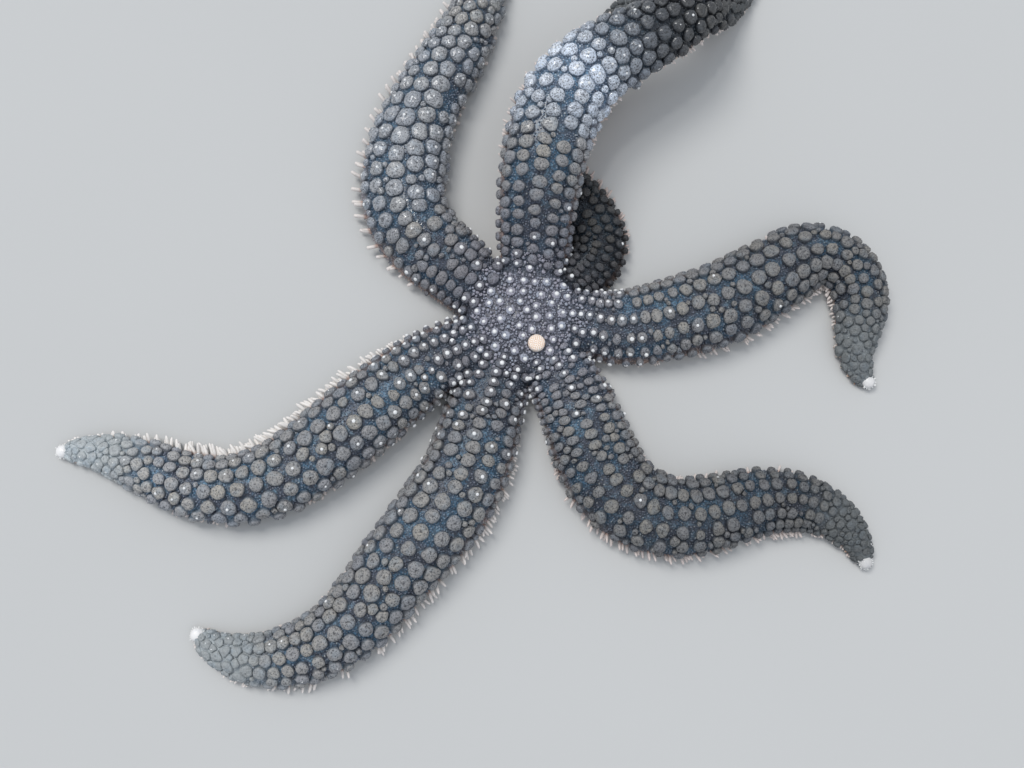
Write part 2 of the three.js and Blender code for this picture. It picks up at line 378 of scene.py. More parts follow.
class Wire:
    """A shader value on which +, - and * add the Math nodes."""

    def __init__(self, finish, socket):
        self.finish, self.socket = finish, socket

    def maths(self, operation, a, b):
        return self.finish.node("ShaderNodeMath", {"operation": operation}, {0: a, 1: b})

    def __add__(self, other):
        return self.maths("ADD", self, other)

    def __mul__(self, other):
        return self.maths("MULTIPLY", self, other)

    def __sub__(self, other):
        return self.maths("SUBTRACT", self, other)

    def __rsub__(self, other):
        return self.maths("SUBTRACT", other, self)

    __radd__, __rmul__ = __add__, __mul__


class Finish:
    """One material: a Principled shader, and the nodes that vary it over the surface."""

    def __init__(self, name, **constants):
        self.material = bpy.data.materials.new(name)
        self.material.use_nodes = True
        self.tree = self.material.node_tree
        self.shader = self.tree.nodes["Principled BSDF"]
        self.vary(**constants)

    def plug(self, socket, value):
        if isinstance(value, Wire):
            self.tree.links.new(value.socket, socket)
        else:
            socket.default_value = value

    def node(self, kind, settings, sockets, out=0):
        node = self.tree.nodes.new(kind)
        for key, value in settings.items():
            setattr(node, key, value)
        for key, value in sockets.items():
            self.plug(node.inputs[key], value)
        return Wire(self, node.outputs[out])

    def vary(self, **sockets):
        for key, value in sockets.items():
            self.plug(self.shader.inputs[key.replace("_", " ")], value)

    def place(self):
        return self.node("ShaderNodeTexCoord", {}, {}, "Object")

    def grown(self, name):
        return self.node("ShaderNodeAttribute", {"attribute_name": name}, {}, "Fac")

    def blend(self, share, a, b):
        return self.node("ShaderNodeMix", {"data_type": "RGBA"}, {0: share, 6: a, 7: b}, 2)

    def toned_with_painted_light(self, colour):
        """The colour made paler or darker by the tone grown into the mesh. The tone holds the animal's paler
        and darker stretches together with painted shade and painted highlights.
        """
        scaling = {0: colour, "Scale": self.grown("tone_and_painted_light")}
        return self.node("ShaderNodeVectorMath", {"operation": "SCALE"}, scaling)

    def fade(self, value, low, high):
        """0 where the value is at or under low, 1 at or over high, and smooth between."""
        ramp = {"interpolation_type": "SMOOTHSTEP", "clamp": True}
        return self.node("ShaderNodeMapRange", ramp, {0: value, 1: low, 2: high})

    def cloud(self, size):
        """Soft noise between 0 and 1 whose largest blotches are about size millimetres across."""
        wave = {"Vector": self.place(), "Scale": 1 / (size * MM), "Detail": 3.0}
        return self.node("ShaderNodeTexNoise", {}, wave, "Fac")

    def grains(self, size):
        """Grains about size millimetres apart: 0 in the middle of each, and more towards its edge."""
        cells = {"Vector": self.place(), "Scale": 1 / (size * MM)}
        return self.node("ShaderNodeTexVoronoi", {}, cells, "Distance")

    def relief(self, height, depth):
        """Bumps of the given height value, so many millimetres deep."""
        bump = {"Height": height, "Distance": depth * MM, "Strength": 1.0}
        self.vary(Normal=self.node("ShaderNodeBump", {}, bump))


INK = (0.016, 0.017, 0.022, 1)
SLATE = (0.072, 0.078, 0.104, 1)
DUSK = (0.128, 0.130, 0.160, 1)
DEEP_BLUE = (0.030, 0.070, 0.115, 1)
BLUE = (0.066, 0.155, 0.245, 1)
PALE_BLUE = (0.18, 0.29, 0.38, 1)
ROSE_GREY = (0.24, 0.20, 0.19, 1)
LAVENDER = (0.23, 0.245, 0.285, 1)
ORANGE = (0.62, 0.27, 0.11, 1)
PINK_FLESH = (0.46, 0.30, 0.235, 1)
BLEACHED = (0.36, 0.385, 0.39, 1)


def hide_colour(finish):
    """The markings that the hide shares with all that grows on it."""
    reach, w = finish.grown("reach"), finish.grown("flank")
    blue_belt = finish.fade(reach, 0.05, 0.26)
    pools = finish.fade(finish.cloud(13), 0.45, 0.6)
    dry_ground = finish.blend(finish.fade(reach, 0.06, 0.12), DUSK, SLATE)
    ground = finish.blend(blue_belt * (pools * 0.8 + 0.1), dry_ground, BLUE)
    ground = finish.blend(finish.fade(finish.cloud(3.6), 0.47, 0.7) * blue_belt * 0.72, ground, PALE_BLUE)
    ground = finish.blend(finish.fade(reach, 0.78, 0.9) * 0.95, ground, BLEACHED)
    rosy = finish.fade(finish.cloud(9), 0.4, 0.65) * finish.fade(reach, 0.75, 0.5)
    margin = finish.fade(w, 0.74, 1.0) * 0.75
    ground = finish.blend(margin, ground, finish.blend(rosy, LAVENDER, ROSE_GREY))
    root_edge = finish.fade(w, 0.66, 0.86) * finish.fade(reach, 0.5, 0.28)
    bare_flesh = root_edge * finish.fade(finish.cloud(5), 0.3, 0.5)
    ground = finish.blend(bare_flesh * 0.85, ground, PINK_FLESH)
    ground = finish.blend(finish.grown("wet") * 0.6, ground, DEEP_BLUE)
    return finish.blend(finish.fade(w, 1.15, 1.5), ground, ORANGE)


def hide_finish():
    finish = Finish("hide", Roughness=0.5, Coat_Roughness=0.1, Specular_IOR_Level=0.4)
    pits = finish.fade(finish.grains(0.95), 0.3, 0.6)
    young = finish.fade(finish.grown("reach"), 0.78, 0.9)
    colour = finish.blend(pits * (0.6 - young * 0.4), hide_colour(finish), INK)
    finish.vary(Base_Color=finish.toned_with_painted_light(colour), Roughness=0.42 + finish.cloud(4) * 0.25)
    finish.vary(Coat_Weight=finish.grown("wet") * 0.8 + 0.05)
    finish.relief(1 - finish.grains(1.1) + finish.cloud(0.5) * 0.3, 0.35)
    return finish.material


def add_numbers(mesh, name, values):
    mesh.attributes.new(name, "FLOAT", "POINT").data.foreach_set("value", values.astype(np.float32))


def mark_places(mesh, number, reach, flank):
    """Grows into a mesh where each point lies on the animal, how much paler or darker it is there
    with its painted shade and highlights, and how wet it is.
    """
    add_numbers(mesh, "reach", reach)
    add_numbers(mesh, "flank", flank)
    add_numbers(mesh, "tone_and_painted_light", values_on_arms(TONES_AND_PAINTED_LIGHT, 1.0, number, reach))
    add_numbers(mesh, "wet", wetness_at(number, reach))


def show(name, mesh, material, replaced):
    """Puts a finished mesh in the scene on the one body, in place of the named solids."""
    obj = bpy.data.objects.new(name, mesh)
    bpy.context.scene.collection.objects.link(obj)
    mesh.materials.clear()
    mesh.materials.append(material)
    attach(obj, "root")
    if replaced:
        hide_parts(*replaced)


def dress_skin():
    """Marks the skin with where each point lies on the animal, and shows it."""
    number, reach, w = facts_at(skin_points).T
    from_mouth = np.hypot(skin_points[:, 0], skin_points[:, 1])
    near_mouth = 1 - smooth_step(from_mouth, 20, 34)
    roof = smooth_step(skin_outward[:, 2], 0.1, 0.5) * near_mouth
    sole = smooth_step(-skin_outward[:, 2], -0.2, 0.3) * near_mouth
    mark_places(skin_mesh, number, reach, np.maximum(np.abs(w) * (1 - roof), 1.5 * sole))
    lengths = [f"arm_{arm.number}_{part}" for arm in ARMS for part in ("base", "middle", "tip")]
    show("skin", skin_mesh, hide_finish(), ["disc", *lengths])


dress_skin()


# ---- The cushions of the back ----
# Each plate of the back carries a blunt spine in a thick wreath of microscopic pincers, which
# stands up as a flat-topped round cushion, warm grey and peppered with black. They stand in rows
# along an arm, apart at its root and close further out, and crowd into a pavement at its tip.

def on_both_sides(rows):
    """Rows given for one side as (w, share of the usual width), on the right and on the left."""
    return [(side * w, share) for w, share in rows for side in (-1, 1)]


# Most arms have a row on the ridge, but the first has a broader row to each side of it.
CUSHION_ROWS = [(0.0, 1.0), *on_both_sides([(0.3, 1.0), (0.56, 0.96), (0.79, 0.84), (0.99, 0.74)])]
PAIRED_ROWS = on_both_sides([(0.145, 1.16), (0.44, 1.06), (0.7, 0.88), (0.93, 0.76)])
# A row starts at the first cushion, and every other row so much further out. On one arm none does,
# and the cushions stand in ranks across it as well.
FIRST_CUSHION = 21.0
STAGGER = 2.6
RANKED_ARM = 5
# The width of a cushion by its reach, and the share of it on each arm.
CUSHION_WIDTH = [
    (0.0, 4.2), (0.1, 4.5), (0.2, 5.3), (0.3, 6.3), (0.45, 7.6), (0.6, 7.3), (0.72, 6.4), (0.8, 5.8),
    (0.9, 5.2), (1.0, 4.6),
]
CUSHION_GIRTH = {1: 1.06, 2: 1.04, 3: 0.74, 4: 0.9, 5: 0.82, 6: 0.97, 7: 0.95}
# The way from one to the next in a row, in widths: by reach, and the share of it on each arm.
CUSHION_SPACING = [(0.0, 0.96), (0.22, 0.96), (0.4, 1.1), (0.62, 1.1), (0.8, 1.0)]
ROW_SPACING = {1: 0.9, 2: 0.93, 3: 0.98, 4: 1.06, 5: 0.98, 6: 1.0, 7: 1.02}
# How much broader across the arm than round they are, by reach.
CUSHION_BREADTH = [(0.0, 1.12), (0.25, 1.12), (0.42, 1.0), (1.0, 1.0)]
CUSHION_HEIGHT = 3.0
GRANULE_HEIGHT = 0.13
WET_DOME = 0.16
# The reach from which smaller cushions fill the gaps of the rows, and where the rows end.
FILLED_FROM = {1: 0.2, 2: 0.36, 3: 0.12, 4: 0.6, 5: 0.12, 6: 0.12, 7: 0.12}
PAVED_FROM = {1: 0.8, 2: 0.8, 3: 0.82, 4: 0.84, 5: 0.87, 6: 0.87, 7: 0.79}
# The cushions of some arms stand close all along, and those of others spread near the tip until
# they press against each other.
CLOSE_ARMS = (1, 2)
TIGHT_ARMS = (6, 7)
# The side of a cushion runs down through (radius, height, share of the top's felt).
PAD_SIDE = [(1.0, 0.42, 0.6), (0.84, -0.4, 0.0)]
# The sides (-1 right, 1 left) on which an arm turns its flank up and its edge spines down.
BARE_SIDES = [(1, -1), (2, -1), (3, 1), (4, 1), (5, 1), (6, -1), (7, 1)]


def pad_template(rings):
    """A round pad of radius and height 1 as a hexagonal net: points, how far out each lies on the
    net, how much each is of the top, and the corners."""
    points, out, top = [(0.0, 0.0, 1.0)], [0.0], [1.0]
    for k in range(1, rings + 1 + len(PAD_SIDE)):
        count = 6 * min(k, rings)
        angle = np.arange(count) / count * 2 * math.pi
        if k <= rings:
            part = k / rings
            radius, height, share = 0.94 * part, 1 - 0.12 * part ** 2 - 0.16 * part ** 5, 1.0
        else:
            radius, height, share = PAD_SIDE[k - rings - 1]
        points += [(radius * math.cos(a), radius * math.sin(a), height) for a in angle]
        out += [k / (rings + len(PAD_SIDE))] * count
        top += [share] * count
    corners = []
    start = [0] + [1 + 3 * k * (k - 1) for k in range(1, rings + 2)]
    for k in range(1, rings + 1):
        inner, outer, count = start[k - 1], start[k], 6 * k
        for i in range(count):
            side, step = divmod(i, k)
            within = 0 if k == 1 else inner + (side * (k - 1) + step) % (6 * (k - 1))
            corners.append((within, outer + i, outer + (i + 1) % count))
            if step:
                before = inner + (side * (k - 1) + step - 1) % (6 * (k - 1))
                corners.append((before, outer + i, within))
    count = 6 * rings
    for k in range(len(PAD_SIDE)):
        inner = start[rings] + k * count
        for i in range(count):
            j = (i + 1) % count
            corners.append((inner + i, inner + count + i, inner + j))
            corners.append((inner + j, inner + count + i, inner + count + j))
    return np.array(points), np.array(out), np.array(top), np.array(corners)


def square_to(axis, vectors):
    """The directions of the vectors when they are made square to an axis."""
    return unit(vectors - axis * (vectors * axis).sum(axis=1, keepdims=True))


class Seats:
    """Places on the skin where things grow, and the facts of each."""

    NAMES = ("number", "reach", "w", "place", "outward", "gap", "forward")

    def __init__(self, number, reach, w, guess, forward):
        self.number, self.reach, self.w = number, reach, w
        self.place, self.outward, self.gap = on_skin(guess)
        self.forward = square_to(self.outward, forward)

    def __len__(self):
        return len(self.reach)

    def pick(self, chosen):
        picked = object.__new__(Seats)
        for name in self.NAMES:
            setattr(picked, name, getattr(self, name)[chosen])
        return picked

    def patches(self):
        """The middle of each seat's patch on the flat pattern of the skin, a cell for each arm."""
        column, row = (self.number - 1) % 4, (self.number - 1) // 4
        return np.stack([(column + 0.5 + 0.2 * self.w) / 4, (row + 0.02 + 0.94 * self.reach) / 2], axis=1)

    def sideways(self):
        return np.cross(self.outward, self.forward)


def joined(seats):
    """Several groups of seats as one."""
    whole = object.__new__(Seats)
    for name in Seats.NAMES:
        setattr(whole, name, np.concatenate([getattr(s, name) for s in seats]))
    return whole


def gathered(groups):
    """Groups of seats, each with its arrays of numbers, as one."""
    seats, *numbers = zip(*groups)
    return joined(seats), *(np.concatenate(each) for each in numbers)


# What lies deeper under the skin than this stands inside another arm.
BURIED = 1.3


def arm_seats(arm, s, w, depth=CUSHION_DEPTH):
    """Seats at s along an arm and w round it, and which of them aren't inside another arm."""
    bearing = arm.bearing(s)
    forward = np.stack([np.cos(bearing), np.sin(bearing), np.zeros_like(bearing)], axis=1)
    seats = Seats(np.full(len(s), arm.number), s / arm.length, w, arm.place(s, w, depth), forward)
    return seats, seats.gap < BURIED


DISC_TOP = 21.0
DISC_CELL = 30


def disc_seats(x, y):
    """Seats on the roof of the disc under x, y."""
    above = np.stack([x, y, np.full(len(x), DISC_TOP)], axis=1)
    heading = draw.uniform(0, 2 * math.pi, len(x))
    forward = np.stack([np.cos(heading), np.sin(heading), np.zeros(len(x))], axis=1)
    return Seats(np.full(len(x), DISC), 0.5 + y / (2 * DISC_CELL), x / DISC_CELL, above, forward)


def uncrowded(places, radius):
    """Keeps each place, in order, that stands clear of those kept before it by their radii."""
    tree, kept = tree_of(places), np.zeros(len(places), bool)
    widest = radius.max()
    for i, place in enumerate(places):
        near = tree.find_range(place, radius[i] + widest)
        kept[i] = all(not kept[j] or d > radius[i] + radius[j] for _, j, d in near)
    return kept


def cushion_width(arm, reach):
    return CUSHION_GIRTH[arm.number] * value_at(CUSHION_WIDTH, reach)


def row_places(arm):
    """s, w and width of the cushions that stand in rows along an arm."""
    found = []
    for order, (w, share) in enumerate(PAIRED_ROWS if arm.number == 1 else CUSHION_ROWS):
        if abs(w) > 0.9 and (arm.number, np.sign(w)) not in BARE_SIDES:
            continue
        s = FIRST_CUSHION + (0 if arm.number == RANKED_ARM else STAGGER * ((order + 1) // 2 % 2))
        while s < PAVED_FROM[arm.number] * arm.length:
            nominal = cushion_width(arm, s / arm.length)
            shift = draw.normal(0, 0.05, 2) * (nominal, 0.25)
            if draw.random() > 0.02:
                found.append((s + shift[0], w + shift[1], nominal * share * draw.uniform(0.87, 1.08)))
            spacing = ROW_SPACING[arm.number] * value_at(CUSHION_SPACING, s / arm.length)
            s += nominal * spacing * (1.0 if arm.number == RANKED_ARM else max(share, 0.95))
    return np.array(found)


def scattered_places(arm, count, start, least, most):
    """s, w and width of cushions at random from a start reach to an arm's tip, the widest first."""
    s = draw.uniform(start, 0.988, count) * arm.length
    width = cushion_width(arm, s / arm.length) * draw.uniform(least, most, count)
    return np.stack([s, draw.uniform(-0.98, 0.98, count), width], axis=1)[np.argsort(-width)]


def tip_of(arm):
    """Where the middle of an arm's tip plate lies."""
    x, y = arm.middle(arm.length - 3.0)
    return np.array((x, y, 2.9 + float(arm.rise(arm.length))))


def arm_cushions(arm):
    """The seats, radii and room of an arm's cushions, in the order in which they take their place."""
    filled_from, paved_from = FILLED_FROM[arm.number], PAVED_FROM[arm.number]
    paving = scattered_places(arm, 600, paved_from, 0.86, 1.12)
    paving = paving[draw.permutation(len(paving))]
    spares = scattered_places(arm, 1000, paved_from, 0.45, 0.8)
    close = arm.number in CLOSE_ARMS
    gap_fillers = scattered_places(arm, 500 if close else 320, filled_from, 0.62, 0.84)
    crumbs = scattered_places(arm, 260, 0.12, 0.34, 0.5)
    rows = row_places(arm)
    s, w, width = np.concatenate([rows, paving, spares, gap_fillers, crumbs]).T
    in_row = np.arange(len(s)) < len(rows)
    seats, clear = arm_seats(arm, s, w)
    up = seats.outward[:, 2]
    clear &= (np.hypot(seats.place[:, 0], seats.place[:, 1]) > FIRST_CUSHION) & (up > -0.3)
    hang = width / 2 * np.sqrt(1 - up ** 2) - 3 * np.minimum(up, 0)
    clear &= seats.place[:, 2] - hang > 0.4
    clear &= np.linalg.norm(seats.place - tip_of(arm), axis=1) > 2.6 + 0.35 * width
    bare = np.array([(arm.number, side) in BARE_SIDES for side in np.sign(w)])
    clear &= (np.abs(w) < 0.84) | bare
    tight = (s / arm.length > paved_from) & (arm.number in TIGHT_ARMS) | close
    room = width / 2 * np.where(in_row, 0.81, np.where(tight, 0.84, 0.88))
    return seats.pick(clear), width[clear] / 2, room[clear]


def disc_cushions():
    """The seats, radii and room of the disc's cushions: some of middling size, and then many small."""
    large, small = 1400, 2800
    turn = draw.uniform(0, 2 * math.pi, large + small)
    out = 27 * np.sqrt(draw.random(large + small))
    radius = np.append(draw.uniform(1.7, 2.2, large), draw.uniform(0.5, 0.95, small))
    seats = disc_seats(out * np.cos(turn), out * np.sin(turn))
    return seats, radius, np.where(radius > 1.5, 1.25, 0.95) * radius


SIEVE_PLACE = (5.0, -13.5)
SIEVE_RADIUS = 3.6


def off_sieve(seats, margin):
    """Which seats are off the sieve plate by a margin."""
    x, y = seats.place[:, 0] - SIEVE_PLACE[0], seats.place[:, 1] - SIEVE_PLACE[1]
    return np.hypot(x, y) > SIEVE_RADIUS + margin


def lay_cushions():
    """The seats and the radii of all cushions, the arms' first and then the disc's."""
    seats, radius, room = gathered([*(arm_cushions(arm) for arm in ARMS), disc_cushions()])
    clear = off_sieve(seats, radius) | (seats.number < DISC)
    seats, radius, room = seats.pick(clear), radius[clear], room[clear]
    kept = uncrowded(seats.place, room)
    return seats.pick(kept), radius[kept]


cushions, cushion_radius = lay_cushions()

# Of some cushions the spine has sunk in and left a dimple.
dimpled = (draw.random(len(cushions)) < 0.4) & (cushions.reach > 0.3) & (cushions.number < DISC)

# The angles, from an arm's heading round, at which each cushion's space is measured.
OUTLOOK = np.linspace(0, 2 * math.pi, 25)


def space_round():
    """How far each cushion can spread towards each angle before it meets a neighbour."""
    nests, sideways = tree_of(cushions.place), cushions.sideways()
    space = np.empty((len(cushions), len(OUTLOOK)))
    # The space is a soft least of the ways to the borders with its ten nearest neighbours.
    for i, place in enumerate(cushions.place):
        near = nests.find_n(place, 11)[1:]
        there = np.array([p for p, _, _ in near]) - place
        along, across = there @ cushions.forward[i], there @ sideways[i]
        share = cushion_radius[i] / (cushion_radius[i] + cushion_radius[[j for _, j, _ in near]])
        border = share * (along ** 2 + across ** 2)
        facing = along[:, None] * np.cos(OUTLOOK) + across[:, None] * np.sin(OUTLOOK)
        space[i] = (np.maximum(facing / border[:, None], 0.01) ** 10).sum(axis=0) ** -0.1
    return space


cushion_space = space_round()


def half_width_at(seats):
    """Half the arm's width at each seat, and the disc's radius on the disc."""
    width = np.full(len(seats), DISC_RADIUS)
    for arm in ARMS:
        here = seats.number == arm.number
        width[here] = arm.half_width(seats.reach[here] * arm.length)
    return width


def slimness(seats):
    """1 where the arm is stout, and less where it is slim."""
    return np.minimum(1, half_width_at(seats) / SLIM)


def cushion_height(seats, radius):
    """How high cushions stand: less where the arm is slim or young, on the disc and where small."""
    young = np.interp(seats.reach, (0.79, 0.93), (1.0, 0.6)) * np.where(seats.number == DISC, 0.62, 1.0)
    return CUSHION_HEIGHT * slimness(seats) * young * (0.68 + 0.32 * np.minimum(radius / 3.2, 1))


LEAST_HEIGHT = 0.05


def stand(seats, local, net, corners, name, patch):
    """A mesh of many like pieces: local is (seats, points, 3) along, across and out of the skin in
    millimetres, and net is each point's place in its patch, which is patch wide. What would reach
    through the floor is pressed flat on it."""
    place = seats.place[:, None, :]
    place = place + local[..., 0:1] * seats.forward[:, None] + local[..., 1:2] * seats.sideways()[:, None]
    place = place + local[..., 2:3] * seats.outward[:, None]
    place[..., 2] = np.maximum(place[..., 2], LEAST_HEIGHT)
    count, size = local.shape[:2]
    faces = (np.arange(count)[:, None, None] * size + corners).reshape(-1, corners.shape[1])
    mesh = mesh_of(name, place.reshape(-1, 3), faces)
    reach = np.where(seats.number == DISC, 0.05, seats.reach)
    flank = np.where(seats.number == DISC, 0.0, np.abs(seats.w))
    mark_places(mesh, *(np.repeat(fact, size) for fact in (seats.number, reach, flank)))
    spots = seats.patches()[:, None, :] + net * np.reshape(patch, (-1, 1, 1))
    layer = mesh.uv_layers.new(name="OFBake")
    layer.data.foreach_set("uv", spots.reshape(-1, 2)[faces.ravel()].astype(np.float32).ravel())
    return mesh


# Each cushion's outline is out of round by waves of (count, usual depth).
OUTLINE_WAVES = [(2, 0.045), (3, 0.03), (4, 0.025), (7, 0.015)]


def cushion_shapes(seats, radius, space, sunk, rings):
    """The cushions' points, their places on the pattern, how deep each point lies in a hollow for the
    painted shade there, and the template's share of felt and corners."""
    points, out, top, corners = pad_template(rings)
    count, size = len(seats), len(points)
    angle = np.arctan2(points[:, 1], points[:, 0])
    outline = 1 + sum(
        draw.normal(0, part, (count, 1)) * np.cos(k * angle + draw.uniform(0, 6.3, (count, 1)))
        for k, part in OUTLINE_WAVES
    )
    stretch = radius[:, None] * outline
    part = np.minimum(1, out * (rings + len(PAD_SIDE)) / rings)
    felted = np.where(top == 1, 1.0, 0.0) * np.where(part > 1 - 0.5 / rings, 0.5, 1.0)
    lumps = draw.normal(0, 1, (count, size)) * felted
    lumps[sunk, 0] = -4.0
    lumps[sunk, 1:7] -= 1.0
    height = cushion_height(seats, radius) * draw.uniform(0.9, 1.1, count)
    broad = value_at(CUSHION_BREADTH, seats.reach) * np.where(seats.number == RANKED_ARM, 1.1, 1.0)
    broad = np.where(seats.number == DISC, 1.0, broad)[:, None]
    x = points[:, 0] * stretch / broad
    y = points[:, 1] * stretch * broad
    spread = np.hypot(x, y) / np.maximum(np.hypot(points[:, 0], points[:, 1]), 0.01)
    facing = np.arctan2(y, x) % (2 * math.pi)
    room = 0.97 * np.stack([np.interp(a, OUTLOOK, reach) for a, reach in zip(facing, space)])
    growth = np.interp(seats.reach, (0.84, 0.93), (1.0, 1.35))
    growth = np.where(np.isin(seats.number, TIGHT_ARMS), growth, 1.0)
    pressed = np.clip(room / np.maximum(spread, 0.01), 0.6, growth[:, None])
    x, y = x * pressed, y * pressed
    wet = wetness_at(seats.number, seats.reach)[:, None]
    z = points[:, 2] * height[:, None] + GRANULE_HEIGHT * (1 + 0.6 * wet) * lumps
    z -= WET_DOME * wet * radius[:, None] * np.where(top > 0.5, part ** 2, 0)
    z -= y * y / (2.2 * half_width_at(seats)[:, None])
    net = np.stack([out * np.cos(angle), out * np.sin(angle)], axis=1)
    return np.stack([x, y, z], axis=2), net, smooth_step(-lumps, 0.8, 2.4), top, corners


COOL_FELT = (0.240, 0.248, 0.272, 1)
WARM_FELT = (0.335, 0.312, 0.274, 1)
ROOT_FELT = (0.200, 0.196, 0.228, 1)
YOUNG_FELT = (0.275, 0.290, 0.290, 1)
BLUE_FELT = (0.20, 0.27, 0.33, 1)
# A pale blue painted reflection of the sky on the wet film over the cushions.
WET_SKY_SHEEN = (0.36, 0.42, 0.505, 1)
MOTTLING = (0.125, 0.132, 0.150, 1)
PEPPER = (0.045, 0.046, 0.052, 1)
# The painted shade in a cushion's hollows and in the dimple of a sunk spine.
DIMPLE_SHADE = (0.022, 0.024, 0.03, 1)


def cushion_finish():
    finish = Finish("cushion", Roughness=0.6, Coat_Roughness=0.05, Specular_IOR_Level=0.35)
    reach, top, tint = finish.grown("reach"), finish.grown("top"), finish.grown("tint")
    grown = finish.blend(tint, COOL_FELT, WARM_FELT)
    felt = finish.blend(finish.fade(reach, 0.06, 0.3), ROOT_FELT, grown)
    young = finish.fade(reach, 0.78, 0.9)
    felt = finish.blend(young, felt, YOUNG_FELT)
    felt = finish.blend(finish.fade(finish.cloud(5), 0.45, 0.7) * 0.3, felt, BLUE_FELT)
    # Where wet, the felt is paled towards the painted sky reflection.
    felt = finish.blend(finish.fade(finish.grown("wet"), 0.5, 1.0) * 0.5, felt, WET_SKY_SHEEN)
    mottle = finish.fade(finish.cloud(1.1), 0.42, 0.62) * finish.fade(reach, 0.04, 0.14) * 0.42
    felt = finish.blend(mottle * (1 - young * 0.5), felt, MOTTLING)
    pepper = finish.fade(finish.grains(0.8) - finish.grown("wet") * 0.06, 0.44, 0.16) * 0.82
    felt = finish.blend(pepper * (1 - young * 0.8), felt, PEPPER)
    # Painted shade darkens the felt where it dips, and most of all in the dimples.
    felt = finish.blend(finish.grown("hollow_shade") * (0.8 - young * 0.5), felt, DIMPLE_SHADE)
    # A dark band round each cushion's shoulder: partly the dark edge of its felt, and partly painted shade
    # of the crevices between cushions. It is weaker at the young tips.
    rim = finish.fade(top, 0.98, 0.68) * finish.fade(top, 0.25, 0.5)
    colour = finish.blend(rim * (0.34 - young * 0.25), finish.blend(top, hide_colour(finish), felt), INK)
    finish.vary(Base_Color=finish.toned_with_painted_light(colour))
    finish.vary(Coat_Weight=finish.fade(finish.grown("wet"), 0.1, 0.7) * 0.95 + 0.02)
    finish.relief(1 - finish.grains(0.62), 0.25)
    return finish.material


cushion_material = cushion_finish()
# A cushion with a smaller radius than this counts as a small one, and shows no spine.
GRANULE_RADIUS = 1.5
# The width of a cushion's patch on the flat pattern, for a radius of a millimetre.
PAD_PATCH = 0.0019


def make_cushions():
    """Each arm's cushions and the disc's as pieces, and the smallest of all together as one."""
    tint = 0.6 * draw.random(len(cushions)) + 0.4 * (1 - np.minimum(1, np.abs(cushions.w)))
    small = cushion_radius < GRANULE_RADIUS
    pieces = [(f"cushions_arm_{arm.number}", (cushions.number == arm.number) & ~small, 6) for arm in ARMS]
    pieces += [("cushions_disc", (cushions.number == DISC) & ~small, 6), ("small_cushions", small, 3)]
    for name, chosen, rings in pieces:
        here = np.flatnonzero(chosen)
        seats, radius, space = cushions.pick(here), cushion_radius[here], cushion_space[here]
        local, net, hollow_shade, top, corners = cushion_shapes(seats, radius, space, dimpled[here], rings)
        mesh = stand(seats, local, net, corners, name, radius * PAD_PATCH)
        add_numbers(mesh, "top", np.tile(top, len(seats)))
        add_numbers(mesh, "hollow_shade", hollow_shade.ravel())
        add_numbers(mesh, "tint", np.repeat(tint[here], local.shape[1]))
        show(name, mesh, cushion_material, [])


make_cushions()


# ---- The gills between the cushions ----
# The hide between the plates is crowded with soft thimble-shaped gills and single pincers,
# under a millimetre across. They are blue to slate, and some are tipped with pale grey. Few stand
# on the pink flesh of the roots' edges and in the pavement of the tips.

GILL_STEP = 1.16
GILL_ROOM = 0.42
GILL_RADIUS = (0.36, 0.56)
GILL_HEIGHT = (0.55, 1.05)
GILL_SHAPE = [(1.0, -0.35), (0.86, 0.55)]
GILL_GROUPS = [
    ("gills_arms_1_2", 1, 2), ("gills_arms_3_4", 3, 4), ("gills_arms_5_6", 5, 6), ("gills_arm_7", 7, DISC),
]
DUSKY_TIP = (0.12, 0.125, 0.15, 1)
GREY_TIP = (0.25, 0.265, 0.31, 1)
PALE_TIP = (0.46, 0.47, 0.46, 1)


def gill_places(arm):
    """s and w of a jittered net over an arm's back and flanks."""
    found = []
    for s in np.arange(6, arm.length - 2, GILL_STEP):
        across = int(3.1 * arm.half_width(s) / GILL_STEP) + 3
        w = np.linspace(-1.13, 1.13, across)
        shift = draw.normal(0, 0.3, (across, 2)) * (GILL_STEP, w[1] - w[0])
        found.append(np.stack([np.full(across, s), w], axis=1) + shift)
    return np.concatenate(found).T


def lay_gills():
    """The seats of all gills, on the ground that the cushions and the sieve plate leave open."""
    laid = []
    for arm in ARMS:
        s, w = gill_places(arm)
        seats, clear = arm_seats(arm, s, w)
        laid.append(seats.pick(clear & (np.hypot(seats.place[:, 0], seats.place[:, 1]) > 20)))
    x, y = draw.uniform(-DISC_CELL, DISC_CELL, (2, 3600))
    inside = np.hypot(x, y) < DISC_CELL
    laid.append(disc_seats(x[inside], y[inside]))
    gills = joined(laid)
    nests = tree_of(cushions.place)
    open_ground = np.array([
        all(d > cushion_radius[j] * 0.97 for _, j, d in nests.find_n(place, 5)) for place in gills.place
    ])
    paved = np.interp(gills.reach, (0.78, 0.9), (0.0, 0.85))
    near_root = np.interp(gills.reach, (0.28, 0.5), (1.0, 0.0))
    fleshy = np.interp(np.abs(gills.w), (0.66, 0.86), (0.0, 0.8)) * near_root
    sprouting = draw.random(len(gills)) > np.maximum(paved, fleshy) * (gills.number < DISC)
    gills = gills.pick(open_ground & sprouting & off_sieve(gills, 0.5))
    return gills.pick(uncrowded(gills.place, np.full(len(gills), GILL_ROOM)))


def gill_finish():
    finish = Finish("gill", Roughness=0.5, Coat_Roughness=0.1)
    top, tint = finish.grown("top"), finish.grown("tint")
    tip = finish.blend(finish.fade(tint, 0.2, 0.8), DUSKY_TIP, GREY_TIP)
    tip = finish.blend(finish.fade(tint, 0.92, 0.96), tip, PALE_TIP)
    base = finish.blend(finish.fade(tint, 0.3, 0.0) * 0.6, hide_colour(finish), INK)
    finish.vary(Base_Color=finish.toned_with_painted_light(finish.blend(top * 0.65, base, tip)))
    finish.vary(Coat_Weight=finish.grown("wet") * 0.7 + 0.05)
    return finish.material


